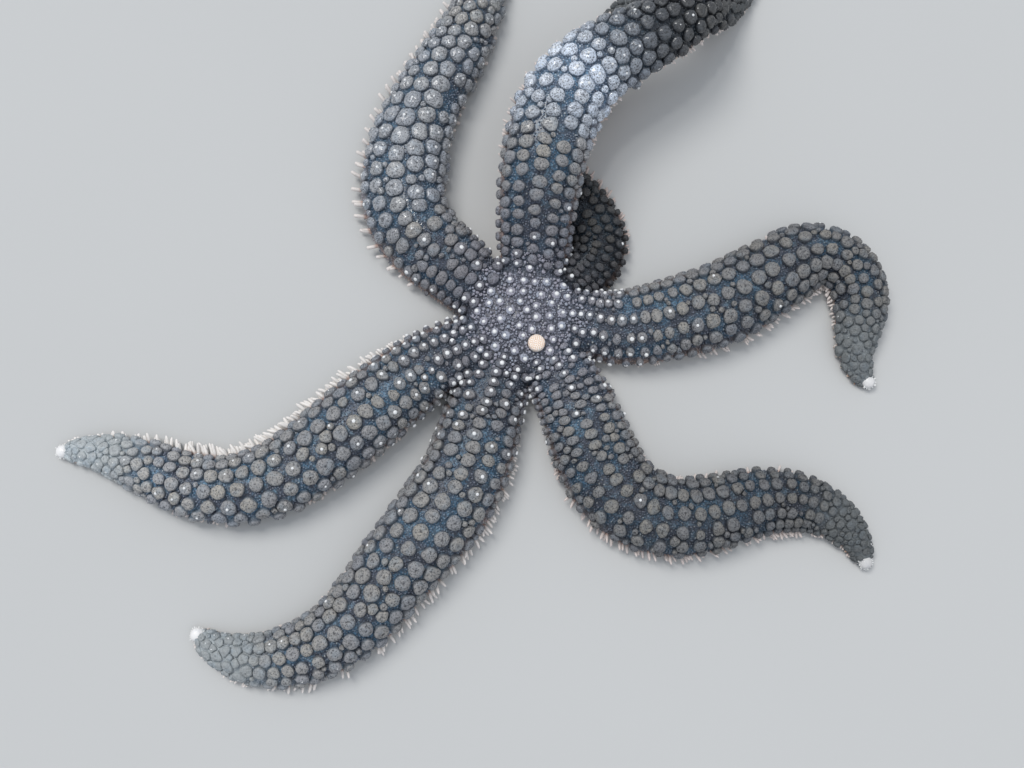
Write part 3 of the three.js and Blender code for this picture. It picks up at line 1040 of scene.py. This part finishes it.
def peg_template(rings, sides):
    """A round peg of height 1 on an open foot, through rings of (radius, height): points, their places
    on the flat pattern and corners."""
    angle = np.arange(sides) * 2 * math.pi / sides
    points = [(r * math.cos(a), r * math.sin(a), z) for r, z in rings for a in angle] + [(0, 0, 1)]
    corners = []
    for k in range(len(rings)):
        for i in range(sides):
            j = (i + 1) % sides
            a, b = k * sides + i, k * sides + j
            if k + 1 < len(rings):
                corners += [(a, b, a + sides), (b, b + sides, a + sides)]
            else:
                corners.append((a, b, len(points) - 1))
    points = np.array(points)
    out = 0.5 * np.append(1 - np.repeat(np.arange(len(rings)), sides) / len(rings), 0)
    turn = np.arctan2(points[:, 1], points[:, 0])
    return points, np.stack([out * np.cos(turn), out * np.sin(turn)], axis=1), np.array(corners)


# How wide the patch of one gill or peg is on the flat pattern of the skin.
PEG_PATCH = 0.003


def make_gills():
    gills = lay_gills()
    points, net, corners = peg_template(GILL_SHAPE, 5)
    top = np.array([0.0] * 5 + [0.7] * 5 + [1.0])
    radius, height = draw.uniform(*GILL_RADIUS, len(gills)), draw.uniform(*GILL_HEIGHT, len(gills))
    lean = draw.normal(0, 0.16, (len(gills), 1, 2)) * np.maximum(points[:, 2], 0)[:, None]
    local = points * np.stack([radius, radius, height], axis=1)[:, None]
    local[..., :2] += lean
    tint = draw.random(len(gills))
    material = gill_finish()
    for name, first, last in GILL_GROUPS:
        here = np.flatnonzero((gills.number >= first) & (gills.number <= last))
        mesh = stand(gills.pick(here), local[here], net, corners, name, PEG_PATCH)
        add_numbers(mesh, "top", np.tile(top, len(here)))
        add_numbers(mesh, "tint", np.repeat(tint[here], len(points)))
        show(name, mesh, material, [])


make_gills()


# ---- The spines of the back ----
# Blunt pegs of white chalk under a thin hide. Each stands in the middle of a cushion. On the
# disc and the roots of the arms they show as bright round knobs, and further out most are sunk.

# The usual length of an arm, and along one of that length, as steps of (place, value): the share of
# the cushions whose spine shows, and the radius of a spine.
USUAL_LENGTH = 225
SPINE_SHARE = {
    1: [(25, 0.85), (34, 0.3), (60, 0.14), (80, 0.4), (95, 0.8), (150, 0.8), (200, 0.3)],
    2: [(22, 0.9), (32, 0.2), (40, 0.03), (85, 0.1), (100, 0.75), (140, 0.5), (165, 0.05)],
    3: [(20, 0.6), (30, 0.1), (45, 0.02)],
    4: [(30, 1.0), (45, 0.8), (60, 0.2), (90, 0.03)],
    5: [(25, 0.8), (40, 0.35), (60, 0.14), (85, 0.08), (120, 0.01)],
    6: [(30, 1.0), (42, 0.65), (60, 0.5), (80, 0.3), (120, 0.1), (190, 0.15), (215, 0.6)],
    7: [(30, 1.0), (50, 0.85), (80, 0.5), (120, 0.42), (190, 0.35), (215, 0.6)],
    DISC: [(0, 1.0)],
}
SPINE_RADIUS = [(0, 0.95), (30, 0.95), (70, 0.84), (110, 0.66), (170, 0.56), (220, 0.4)]
SPINE_PATCH = 0.004
SPINE_CROWN = [(1.0, -0.9), (1.05, 0.1), (0.92, 0.66), (0.55, 0.94)]
# The share of its colour that chalk keeps where it is dull.
DULLED = 0.82


def chalk_finish(name, root, tip, veiled=None):
    """Chalky spines: the colour of the hide at the root runs out to bare chalk at the tip, or to a
    duller chalk on those that the hide still veils."""
    finish = Finish(name, Roughness=0.5, Coat_Weight=0.25, Coat_Roughness=0.2)
    rise = finish.grown("top")
    chalk = finish.blend(finish.cloud(1.5), tip, (*(DULLED * c for c in tip[:3]), 1))
    if veiled:
        chalk = finish.blend(finish.grown("bare"), veiled, chalk)
    finish.vary(Base_Color=finish.blend(finish.fade(rise, 0.05, 0.42), root, chalk))
    finish.relief(finish.cloud(0.4), 0.1)
    return finish.material


def make_back_spines():
    s = np.where(cushions.number == DISC, 0, cushions.reach * USUAL_LENGTH)
    shown = draw.random(len(cushions)) < values_on_arms(SPINE_SHARE, 0.0, cushions.number, s)
    shown &= (cushion_radius > GRANULE_RADIUS) & ~dimpled
    s, seats, pad_radius = s[shown], cushions.pick(shown), cushion_radius[shown]
    radius = value_at(SPINE_RADIUS, s) * draw.uniform(0.8, 1.12, len(s)) * slimness(seats)
    radius *= np.minimum(1, 0.45 + pad_radius / 3.6)
    bare = draw.uniform(0.4, 0.95, len(s)) * np.interp(s, (0, 120, 220), (1.0, 0.6, 0.35))
    points, net, corners = peg_template(SPINE_CROWN, 8)
    local = points * np.stack([radius, radius, bare], axis=1)[:, None]
    local[..., :2] += draw.normal(0, 0.22, (len(s), 1, 2))
    local[..., 2] += cushion_height(seats, pad_radius)[:, None] - 0.1
    mesh = stand(seats, local, net, corners, "back_spines", SPINE_PATCH)
    add_numbers(mesh, "top", np.tile(0.35 + 0.65 * points[:, 2], len(s)))
    material = chalk_finish("back chalk", root=(0.38, 0.40, 0.43, 1), tip=(0.88, 0.88, 0.87, 1))
    show("back_spines", mesh, material, [])


make_back_spines()


# ---- The combs along the edges ----
# Below the flanks each edge plate holds out one or two flattened pegs, which stand in a comb from
# past the arm's root to its tip. They are cream chalk, and brownish pink where they grow.

ARM_SIDES = [(arm, side) for arm in ARMS for side in (-1, 1)]
# The combs stand in two tiers of (w, slope in degrees, length).
COMB_TIERS = [(0.93, 14, 5.6), (1.06, -10, 5.2)]
COMB_PITCH = 4.8
# Where along an arm its combs begin, and where their pegs have grown to full length.
COMB_ROOT = (50, 80)
STOUT_COMBS = (1, 7)
# For the side of each arm that holds its comb out: how long its pegs are, the share of its plates
# that bear them, and how bare their chalk is. The third arm's comb is set nearly all veiled to darken
# it: painted shade, because that arm lies in the second arm's shadow.
COMB_SIDES = {
    (1, 1): (1.0, 0.95, 0.7), (2, 1): (0.7, 0.6, 0.4), (3, -1): (1.0, 0.85, 0.05), (4, -1): (0.8, 0.6, 0.5),
    (5, -1): (0.8, 0.55, 0.3), (6, 1): (1.0, 0.6, 0.75), (7, -1): (1.18, 1.0, 1.0),
}
TUCKED_COMB = (0.6, 0.7, 0.4)
# The shapes of pegs, as rings of (radius, height).
PEG = [(0.85, -0.12), (1.0, 0.12), (1.0, 0.5), (0.82, 0.8), (0.42, 0.97)]
BLUNT_PEG = [(0.9, -0.12), (1.0, 0.12), (1.05, 0.55), (1.0, 0.86), (0.66, 0.98)]
STUB = [(0.85, -0.12), (1.0, 0.4), (0.6, 0.92)]


def leaning(seats, axis):
    """The same seats with what stands there leaning along an axis."""
    leant = seats.pick(slice(None))
    leant.outward = unit(axis)
    leant.forward = square_to(leant.outward, seats.forward)
    return leant


def outside(points):
    """Which points lie clear of the skin."""
    place, outward, _ = on_skin(points)
    return ((points - place) * outward).sum(axis=1) > 0.2


def comb_seats():
    """Seats for the edge spines, leaning as they stand, and each one's length and bareness."""
    laid = []
    for arm, side in ARM_SIDES:
        pegs = 1 if arm.number == 1 else 2
        fan = np.arange(pegs) - (pegs - 1) / 2
        tucked = (arm.number, side) not in COMB_SIDES
        reach, share, bare = COMB_SIDES.get((arm.number, side), TUCKED_COMB)
        for tier, (w, slope, length) in enumerate(COMB_TIERS):
            plates = np.arange(COMB_ROOT[0] + tier * 1.1, arm.length - 4, COMB_PITCH)
            plates = plates[draw.random(len(plates)) < share]
            lean = np.tile(fan, len(plates))
            s = np.repeat(plates, pegs) + 0.26 * COMB_PITCH * lean + draw.normal(0, 0.25, len(lean))
            w_there = w + 0.17 * tucked + draw.normal(0, 0.01, len(s))
            seats, clear = arm_seats(arm, s, side * w_there)
            aside = np.cross((0, 0, 1), seats.forward) * side
            spread = np.radians(9 * lean + draw.normal(16, 8, len(s)))
            tilt = np.radians(slope - 36 * tucked + draw.normal(0, 9, len(s)))
            axis = aside * (np.cos(spread) * np.cos(tilt))[:, None] + seats.forward * np.sin(spread)[:, None]
            axis[:, 2] += np.sin(tilt)
            small = np.minimum(1, arm.half_width(s) / 12) * np.interp(seats.reach, (0.76, 0.88), (1.0, 0.5))
            small *= np.interp(s, COMB_ROOT, (0.45, 1.0))
            long = length * reach * small * draw.uniform(0.72, 1.14, len(s))
            seats = leaning(seats, axis)
            tip = seats.place + seats.outward * long[:, None]
            clear &= (tip[:, 2] > 0.3) & outside(tip)
            laid.append((seats.pick(clear), long[clear], np.full(clear.sum(), bare)))
    return gathered(laid)


def make_pegs(name, seats, length, radius, material, shape=STUB, sides=6, flat=1.0, bend=0.0, bare=1.0):
    """Shows a piece of many pegs of one shape: flat is their thickness over their width, bend how far
    the tip is bent over their length, and bare how free of the hide their chalk is."""
    points, net, corners = peg_template(shape, sides)
    local = points * np.stack([radius, radius * flat, length], axis=1)[:, None]
    local[..., 0] += bend * length[:, None] * points[:, 2] ** 2
    mesh = stand(seats, local, net, corners, name, PEG_PATCH)
    add_numbers(mesh, "top", np.tile(points[:, 2], len(seats)))
    add_numbers(mesh, "bare", np.repeat(np.broadcast_to(bare, len(seats)), len(points)))
    show(name, mesh, material, [])


COMB_GROUPS = [
    ("comb_arm_1", 1, 1, BLUNT_PEG), ("combs_arms_2_to_4", 2, 4, PEG), ("combs_arms_5_to_7", 5, 7, PEG),
]
EDGE_ROOT = (0.46, 0.32, 0.27, 1)
EDGE_CHALK = (0.93, 0.88, 0.83, 1)
EDGE_VEILED = (0.56, 0.46, 0.42, 1)


def make_combs():
    seats, length, bare = comb_seats()
    radius = draw.uniform(0.6, 0.76, len(seats)) * np.minimum(1, 0.4 + length / 6)
    radius *= np.where(np.isin(seats.number, STOUT_COMBS), 1.3, 1.0)
    material = chalk_finish("edge chalk", EDGE_ROOT, EDGE_CHALK, EDGE_VEILED)
    for name, first, last, shape in COMB_GROUPS:
        here = (seats.number >= first) & (seats.number <= last)
        long, wide, bared = length[here], radius[here], bare[here]
        make_pegs(name, seats.pick(here), long, wide, material, shape, flat=0.8, bend=0.06, bare=bared)


make_combs()


# ---- The underside ----
# Under each arm a deep groove holds four rows of soft orange tube feet that end in suckers.
# Slender spines guard its banks, and short stout ones stand on the sole between bank and edge.

# The spines of the sole stand in rows of (w, lean in degrees, length), the tube feet of one side of
# the groove in rows of (w, where the first stands), and all end this far above the floor.
SOLE_ROWS = [(1.2, 24, 2.5), (1.32, 12, 1.7), (1.46, 4, 1.6)]
FOOT_ROWS = [(1.8, 10.0), (1.9, 11.7)]
FOOT_PITCH = 3.4
FLOOR_GAP = 0.15
FOOT_SHAPE = [(0.9, -0.06), (0.7, 0.15), (0.62, 0.5), (0.62, 0.8), (0.95, 0.93), (0.9, 1.0)]


def pointing_down(aside, lean):
    """The directions that point at the floor but lean aside by so many degrees."""
    tilt = np.radians(lean)[:, None]
    return aside * np.sin(tilt) - np.array((0, 0, 1)) * np.cos(tilt)


def under_seats(arm, side, w, pitch, first, lean, jitter=0.2):
    """Seats along the underside, for things that point at the floor and lean away from the groove,
    and how long those can be."""
    s = np.arange(first, arm.length - 5, pitch)
    s = s + draw.normal(0, jitter, len(s))
    seats, clear = arm_seats(arm, s, np.full(len(s), side * w), depth=0)
    aside = np.cross((0, 0, 1), seats.forward) * side
    axis = pointing_down(aside, lean + draw.normal(0, 5, len(s)))
    room = seats.place[:, 2] - arm.rise(s) - FLOOR_GAP
    return leaning(seats, axis).pick(clear), room[clear]


def make_sole_spines():
    laid = []
    for arm, side in ARM_SIDES:
        for w, lean, long in SOLE_ROWS:
            seats, room = under_seats(arm, side, w, pitch=3.6, first=14, lean=lean)
            length = long * draw.uniform(0.85, 1.1, len(seats))
            laid.append((seats, np.minimum(length, np.maximum(room, 0.5))))
    seats, length = gathered(laid)
    material = chalk_finish("sole chalk", root=(0.52, 0.27, 0.17, 1), tip=(0.78, 0.66, 0.56, 1))
    make_pegs("sole_spines", seats, length, draw.uniform(0.5, 0.7, len(seats)), material)


def make_groove_spines():
    laid = []
    for arm, side in ARM_SIDES:
        seats, room = under_seats(arm, side, w=1.62, pitch=2.1, first=9, lean=-8)
        length = np.minimum(2.6, np.maximum(room, 0.6))
        laid.append((seats, length * draw.uniform(0.85, 1.0, len(seats))))
    seats, length = gathered(laid)
    material = chalk_finish("groove chalk", root=(0.60, 0.30, 0.17, 1), tip=(0.76, 0.60, 0.47, 1))
    make_pegs("groove_spines", seats, length, draw.uniform(0.3, 0.42, len(seats)), material)


FOOT_FLESH = (0.66, 0.36, 0.17, 1)
FOOT_BAND = (0.74, 0.50, 0.30, 1)
SUCKER = (0.80, 0.66, 0.50, 1)


def tube_foot_finish():
    soft = {"Subsurface_Weight": 0.15, "Subsurface_Scale": 0.001}
    finish = Finish("tube foot", Roughness=0.4, Coat_Weight=0.4, **soft)
    flesh = finish.blend(finish.fade(finish.cloud(0.9), 0.4, 0.65), FOOT_FLESH, FOOT_BAND)
    finish.vary(Base_Color=finish.blend(finish.fade(finish.grown("top"), 0.8, 0.97), flesh, SUCKER))
    finish.relief(finish.cloud(0.5), 0.15)
    return finish.material


def make_tube_feet():
    laid = []
    for arm, side in ARM_SIDES:
        for w, first in FOOT_ROWS:
            seats, room = under_seats(arm, side, w, FOOT_PITCH, first, lean=draw.uniform(2, 8), jitter=0.3)
            laid.append((seats, np.maximum(room, 0.5)))
    seats, length = gathered(laid)
    radius = draw.uniform(0.85, 1.05, len(seats)) * np.minimum(1, half_width_at(seats) / 12)
    make_pegs("tube_feet", seats, length, radius, tube_foot_finish(), FOOT_SHAPE, sides=7)


make_sole_spines()
make_groove_spines()
make_tube_feet()


# ---- The mouth ----
# In the middle of the underside seven jaws, each where two arms meet, close round a soft puckered
# lip. A brush of slender spines stands on each jaw and points in over the mouth.

# The lip runs in and up to the throat through (radius, height), in this many pleats.
LIP_PROFILE = [
    (8.4, 2.2), (7.4, 3.6), (6.2, 4.3), (5.0, 4.2), (3.9, 3.7), (3.0, 3.4), (2.3, 3.7), (1.9, 4.6),
    (1.6, 5.6), (1.2, 6.4),
]
PLEATS = 21
PLEAT_DEPTH = 0.28
LIP_DARK = (0.50, 0.22, 0.12, 1)
LIP_PALE = (0.66, 0.38, 0.24, 1)


def make_mouth():
    radius, height = np.array(LIP_PROFILE).T
    angle = np.linspace(0, 2 * math.pi, 6 * PLEATS, endpoint=False)
    deep = np.interp(radius, (1.2, 3.2, 6.5, 8.4), (0.5, 1.0, 0.4, 0.0))[:, None]
    up = height[:, None] + PLEAT_DEPTH * np.cos(PLEATS * angle) * deep
    x, y = radius[:, None] * np.cos(angle), radius[:, None] * np.sin(angle)
    points, corners = loop_tube(np.stack([x, y, up], axis=2))
    # The tube's two ends stay open.
    lip = mesh_of("lip", points[:-2], corners[:-2 * len(angle)])
    finish = Finish("lip", Roughness=0.4, Coat_Weight=0.4)
    fold = finish.fade(finish.cloud(2.5), 0.35, 0.7)
    finish.vary(Base_Color=finish.blend(fold, LIP_DARK, LIP_PALE))
    finish.relief(finish.cloud(0.8), 0.3)
    show("mouth_lip", lip, finish.material, ["mouth"])


# The headings of the jaws in degrees: halfway between two neighbouring arms, and for the last
# between the seventh arm and the first.
JAW_HEADINGS = [(a.bearings[0] + b.bearings[0]) / 2 for a, b in zip(ARMS, ARMS[1:])] + [177]
# Each jaw bears two rows of spines at (distance from the mouth's middle, lean in degrees), which
# stand at these angles from its heading, and grow at this height.
JAW_ROWS = [(7.9, 50), (6.9, 62)]
JAW_SPREAD = (-0.2, -0.07, 0.07, 0.2)
JAW_HEIGHT = 2.6


def seats_off_skin(number, reach, w, place, axis):
    """Seats at given places off the skin, for what stands along an axis there."""
    count = len(place)
    up = np.tile((0.0, 0.0, 1.0), (count, 1))
    seats = Seats(np.full(count, number), np.full(count, reach), w, place, up)
    seats.place = place
    return leaning(seats, axis)


def make_jaw_spines():
    facts = [
        (math.radians(heading) + draw.normal(0, 0.05) + spread, out, lean)
        for heading in JAW_HEADINGS for out, lean in JAW_ROWS for spread in JAW_SPREAD
    ]
    turn, out, lean = np.array(facts).T
    place = np.stack([out * np.cos(turn), out * np.sin(turn), np.full(len(turn), JAW_HEIGHT)], axis=1)
    inward = -place * (1, 1, 0) / out[:, None]
    seats = seats_off_skin(DISC, 0.5, place[:, 0] / DISC_CELL, place, pointing_down(inward, lean))
    material = chalk_finish("jaw chalk", root=(0.58, 0.30, 0.18, 1), tip=(0.80, 0.70, 0.58, 1))
    make_pegs("jaw_spines", seats, draw.uniform(2.7, 3.6, len(turn)), np.full(len(turn), 0.42), material)


make_mouth()
make_jaw_spines()


# ---- The sieve plate ----
# A button of bare chalk off the middle of the disc, through which the animal draws in water for
# its tube feet. It is cream to peach, and cut by a maze of fine grooves.

SIEVE_RIM = 19.15
SIEVE_CROWN = 1.25
SIEVE_RELIEF = 0.1
# Below its crown the plate's side runs through (share of the radius, height over the rim).
SIEVE_SIDE = [(1.05, -0.5), (1.04, -1.4), (1.0, -2.4)]
SIEVE_FURROW = (0.80, 0.58, 0.42, 1)
SIEVE_CREAM = (0.93, 0.86, 0.79, 1)
SIEVE_PEACH = (0.93, 0.77, 0.66, 1)


def make_sieve_plate():
    side_out, side_height = zip(*SIEVE_SIDE)
    crown = np.linspace(0.02, 1, 44)
    out = np.append(crown, side_out)
    angle = np.linspace(0, 2 * math.pi, 132, endpoint=False)
    profile = np.append(SIEVE_CROWN * np.sqrt(1 - 0.97 * crown ** 3.2), side_height)
    x = SIEVE_RADIUS * out[:, None] * np.cos(angle)
    y = SIEVE_RADIUS * out[:, None] * np.sin(angle)
    heading, phase = draw.uniform(0, 2 * math.pi, (2, 24))
    pace = draw.uniform(6.6, 8.4, 24)
    maze = sum(np.cos(k * (x * math.cos(h) + y * math.sin(h)) + p) for k, h, p in zip(pace, heading, phase))
    ridge = np.tanh(maze * 0.7) * (out[:, None] < 1.01)
    z = SIEVE_RIM + profile[:, None] + SIEVE_RELIEF * ridge
    rings = np.stack([x + SIEVE_PLACE[0], y + SIEVE_PLACE[1], z], axis=2)[::-1]
    points, corners = loop_tube(rings)
    mesh = mesh_of("sieve_plate", points, corners)
    add_numbers(mesh, "top", np.append((ridge[::-1].ravel() + 1) / 2, (0, 1)))
    finish = Finish("sieve chalk", Roughness=0.55, Coat_Weight=0.15)
    cream = finish.blend(finish.fade(finish.cloud(3), 0.35, 0.7), SIEVE_CREAM, SIEVE_PEACH)
    finish.vary(Base_Color=finish.blend(finish.fade(finish.grown("top"), 0.1, 0.6), SIEVE_FURROW, cream))
    show("sieve_plate", mesh, finish.material, ["madreporite"])


make_sieve_plate()


# ---- The tip plates ----
# Each arm ends in one larger plate of chalk, a plump white knob that shields the eyespot and the
# last feelers. A few small white spines stand round the front of it.

# A tip plate's half length, half width and half height, and its net of rings by points round.
KNOB = (2.7, 2.8, 2.0)
KNOB_NET = (15, 28)
BRISTLES = 14
TIP_CHALK = (0.86, 0.84, 0.82, 1)
TIP_STAIN = (0.66, 0.68, 0.72, 1)


def knob_rings(bumps):
    """A plump knob of radius 1 with a furrow under its front, and fine bumps."""
    turn = np.linspace(0.06, math.pi - 0.06, KNOB_NET[0])[:, None]
    round_it = np.linspace(0, 2 * math.pi, KNOB_NET[1], endpoint=False)[None, :]
    full = np.sin(turn) ** 0.8
    ahead = -np.cos(turn) + 0 * round_it
    rings = np.stack([ahead, full * np.cos(round_it), full * np.sin(round_it)], axis=2)
    under = smooth_step(-rings[..., 2], 0.1, 0.6) * smooth_step(rings[..., 0], -0.2, 0.6)
    furrow = under * (1 - smooth_step(np.abs(rings[..., 1]), 0.05, 0.35))
    return rings * (1 - 0.22 * furrow + bumps)[..., None]


def make_tip_plates():
    finish = Finish("tip chalk", Roughness=0.45, Coat_Weight=0.3)
    stain = finish.fade(finish.cloud(2.2), 0.5, 0.75) * 0.4
    finish.vary(Base_Color=finish.toned_with_painted_light(finish.blend(stain, TIP_CHALK, TIP_STAIN)))
    finish.relief(1 - finish.grains(0.5), 0.12)
    bristle = chalk_finish("bristle chalk", root=(0.55, 0.60, 0.64, 1), tip=(0.88, 0.87, 0.84, 1))
    laid = []
    for arm in ARMS:
        bearing = float(arm.bearing(arm.length))
        forward = np.array((math.cos(bearing), math.sin(bearing), 0))
        frame_of_tip = np.array([forward, np.cross((0, 0, 1), forward), (0, 0, 1)])
        size = np.array(KNOB) * arm.girth
        knob = knob_rings(draw.normal(0, 0.012, KNOB_NET)) * size
        points, corners = loop_tube((tip_of(arm) + knob @ frame_of_tip)[::-1])
        name = f"tip_plate_arm_{arm.number}"
        mesh = mesh_of(name, points, corners)
        # A plate is duller where the end of its arm is dark, partly from the arm's own colour and partly
        # from its painted shade, but never paler than its chalk.
        _, tone_and_painted_light = TONES_AND_PAINTED_LIGHT[arm.number][-1]
        add_numbers(mesh, "tone_and_painted_light", np.full(len(points), min(1.0, 0.45 + 0.6 * tone_and_painted_light)))
        show(name, mesh, finish.material, [f"arm_{arm.number}_tip_plate"])
        swing = np.linspace(-1.9, 1.9, BRISTLES) + draw.normal(0, 0.05, BRISTLES)
        sink = draw.uniform(-0.45, 0.25, BRISTLES)
        axis = np.stack([np.cos(swing), np.sin(swing), sink], axis=1)
        place = tip_of(arm) + (axis * size * 0.9) @ frame_of_tip
        seats = seats_off_skin(arm.number, 0.985, swing / 2, place, axis @ frame_of_tip)
        laid.append((seats, draw.uniform(0.8, 1.4, BRISTLES)))
    seats, length = gathered(laid)
    make_pegs("tip_bristles", seats, length, 0.16 + 0.12 * length, bristle, PEG)


make_tip_plates()


# ---- The stage ----
# A plain pale floor under a pale blue sky and three soft lights, of which two come from the far
# side, and a camera that looks down steeply from the near side.

FLOOR_PALE = (0.55, 0.55, 0.54, 1)
FLOOR_GREY = (0.52, 0.52, 0.51, 1)
SKY = (0.80, 0.88, 1.0, 1)
SKY_STRENGTH = 0.6
LIGHT_COLOUR = (1.0, 0.985, 0.96)
# Each light's name, the way to it, its spread in degrees and its strength.
LIGHTS = [
    ("window", (-0.45, 0.5, 1.0), 26, 1.4),
    ("far wall", (0.7, -0.6, 1.0), 80, 0.5),
    ("lamp", (-0.15, 0.25, 1.0), 7, 0.35),
]
# What the camera aims at and how far off it is, in metres, and how steeply it looks down.
CAMERA_AIM = (-0.00567, -0.02785, 0)
CAMERA_DISTANCE = 0.448
CAMERA_STEEPNESS = 78


def set_stage():
    bpy.ops.mesh.primitive_plane_add(size=60)
    floor = bpy.context.object
    floor.name = "floor"
    finish = Finish("pale floor", Roughness=0.85)
    finish.vary(Base_Color=finish.blend(finish.cloud(300), FLOOR_GREY, FLOOR_PALE))
    floor.data.materials.append(finish.material)

    bpy.context.scene.view_settings.view_transform = "Standard"
    world = bpy.data.worlds.new("studio")
    bpy.context.scene.world = world
    world.use_nodes = True
    sky = world.node_tree.nodes["Background"]
    sky.inputs["Color"].default_value = SKY
    sky.inputs["Strength"].default_value = SKY_STRENGTH

    for name, heading, angle, power in LIGHTS:
        lamp = bpy.data.lights.new(name, "SUN")
        lamp.angle = math.radians(angle)
        lamp.energy = power
        lamp.color = LIGHT_COLOUR
        light = bpy.data.objects.new(name, lamp)
        bpy.context.scene.collection.objects.link(light)
        light.rotation_euler = (-Vector(heading)).to_track_quat("-Z", "Y").to_euler()

    lens = bpy.data.cameras.new("camera")
    lens.lens = 35
    lens.sensor_width = 36
    lens.clip_start = 0.01
    camera = bpy.data.objects.new("camera", lens)
    bpy.context.scene.collection.objects.link(camera)
    aim, steep = Vector(CAMERA_AIM), math.radians(CAMERA_STEEPNESS)
    camera.location = aim + CAMERA_DISTANCE * Vector((0, -math.cos(steep), math.sin(steep)))
    camera.rotation_euler = (aim - camera.location).to_track_quat("-Z", "Y").to_euler()
    bpy.context.scene.camera = camera


set_stage()
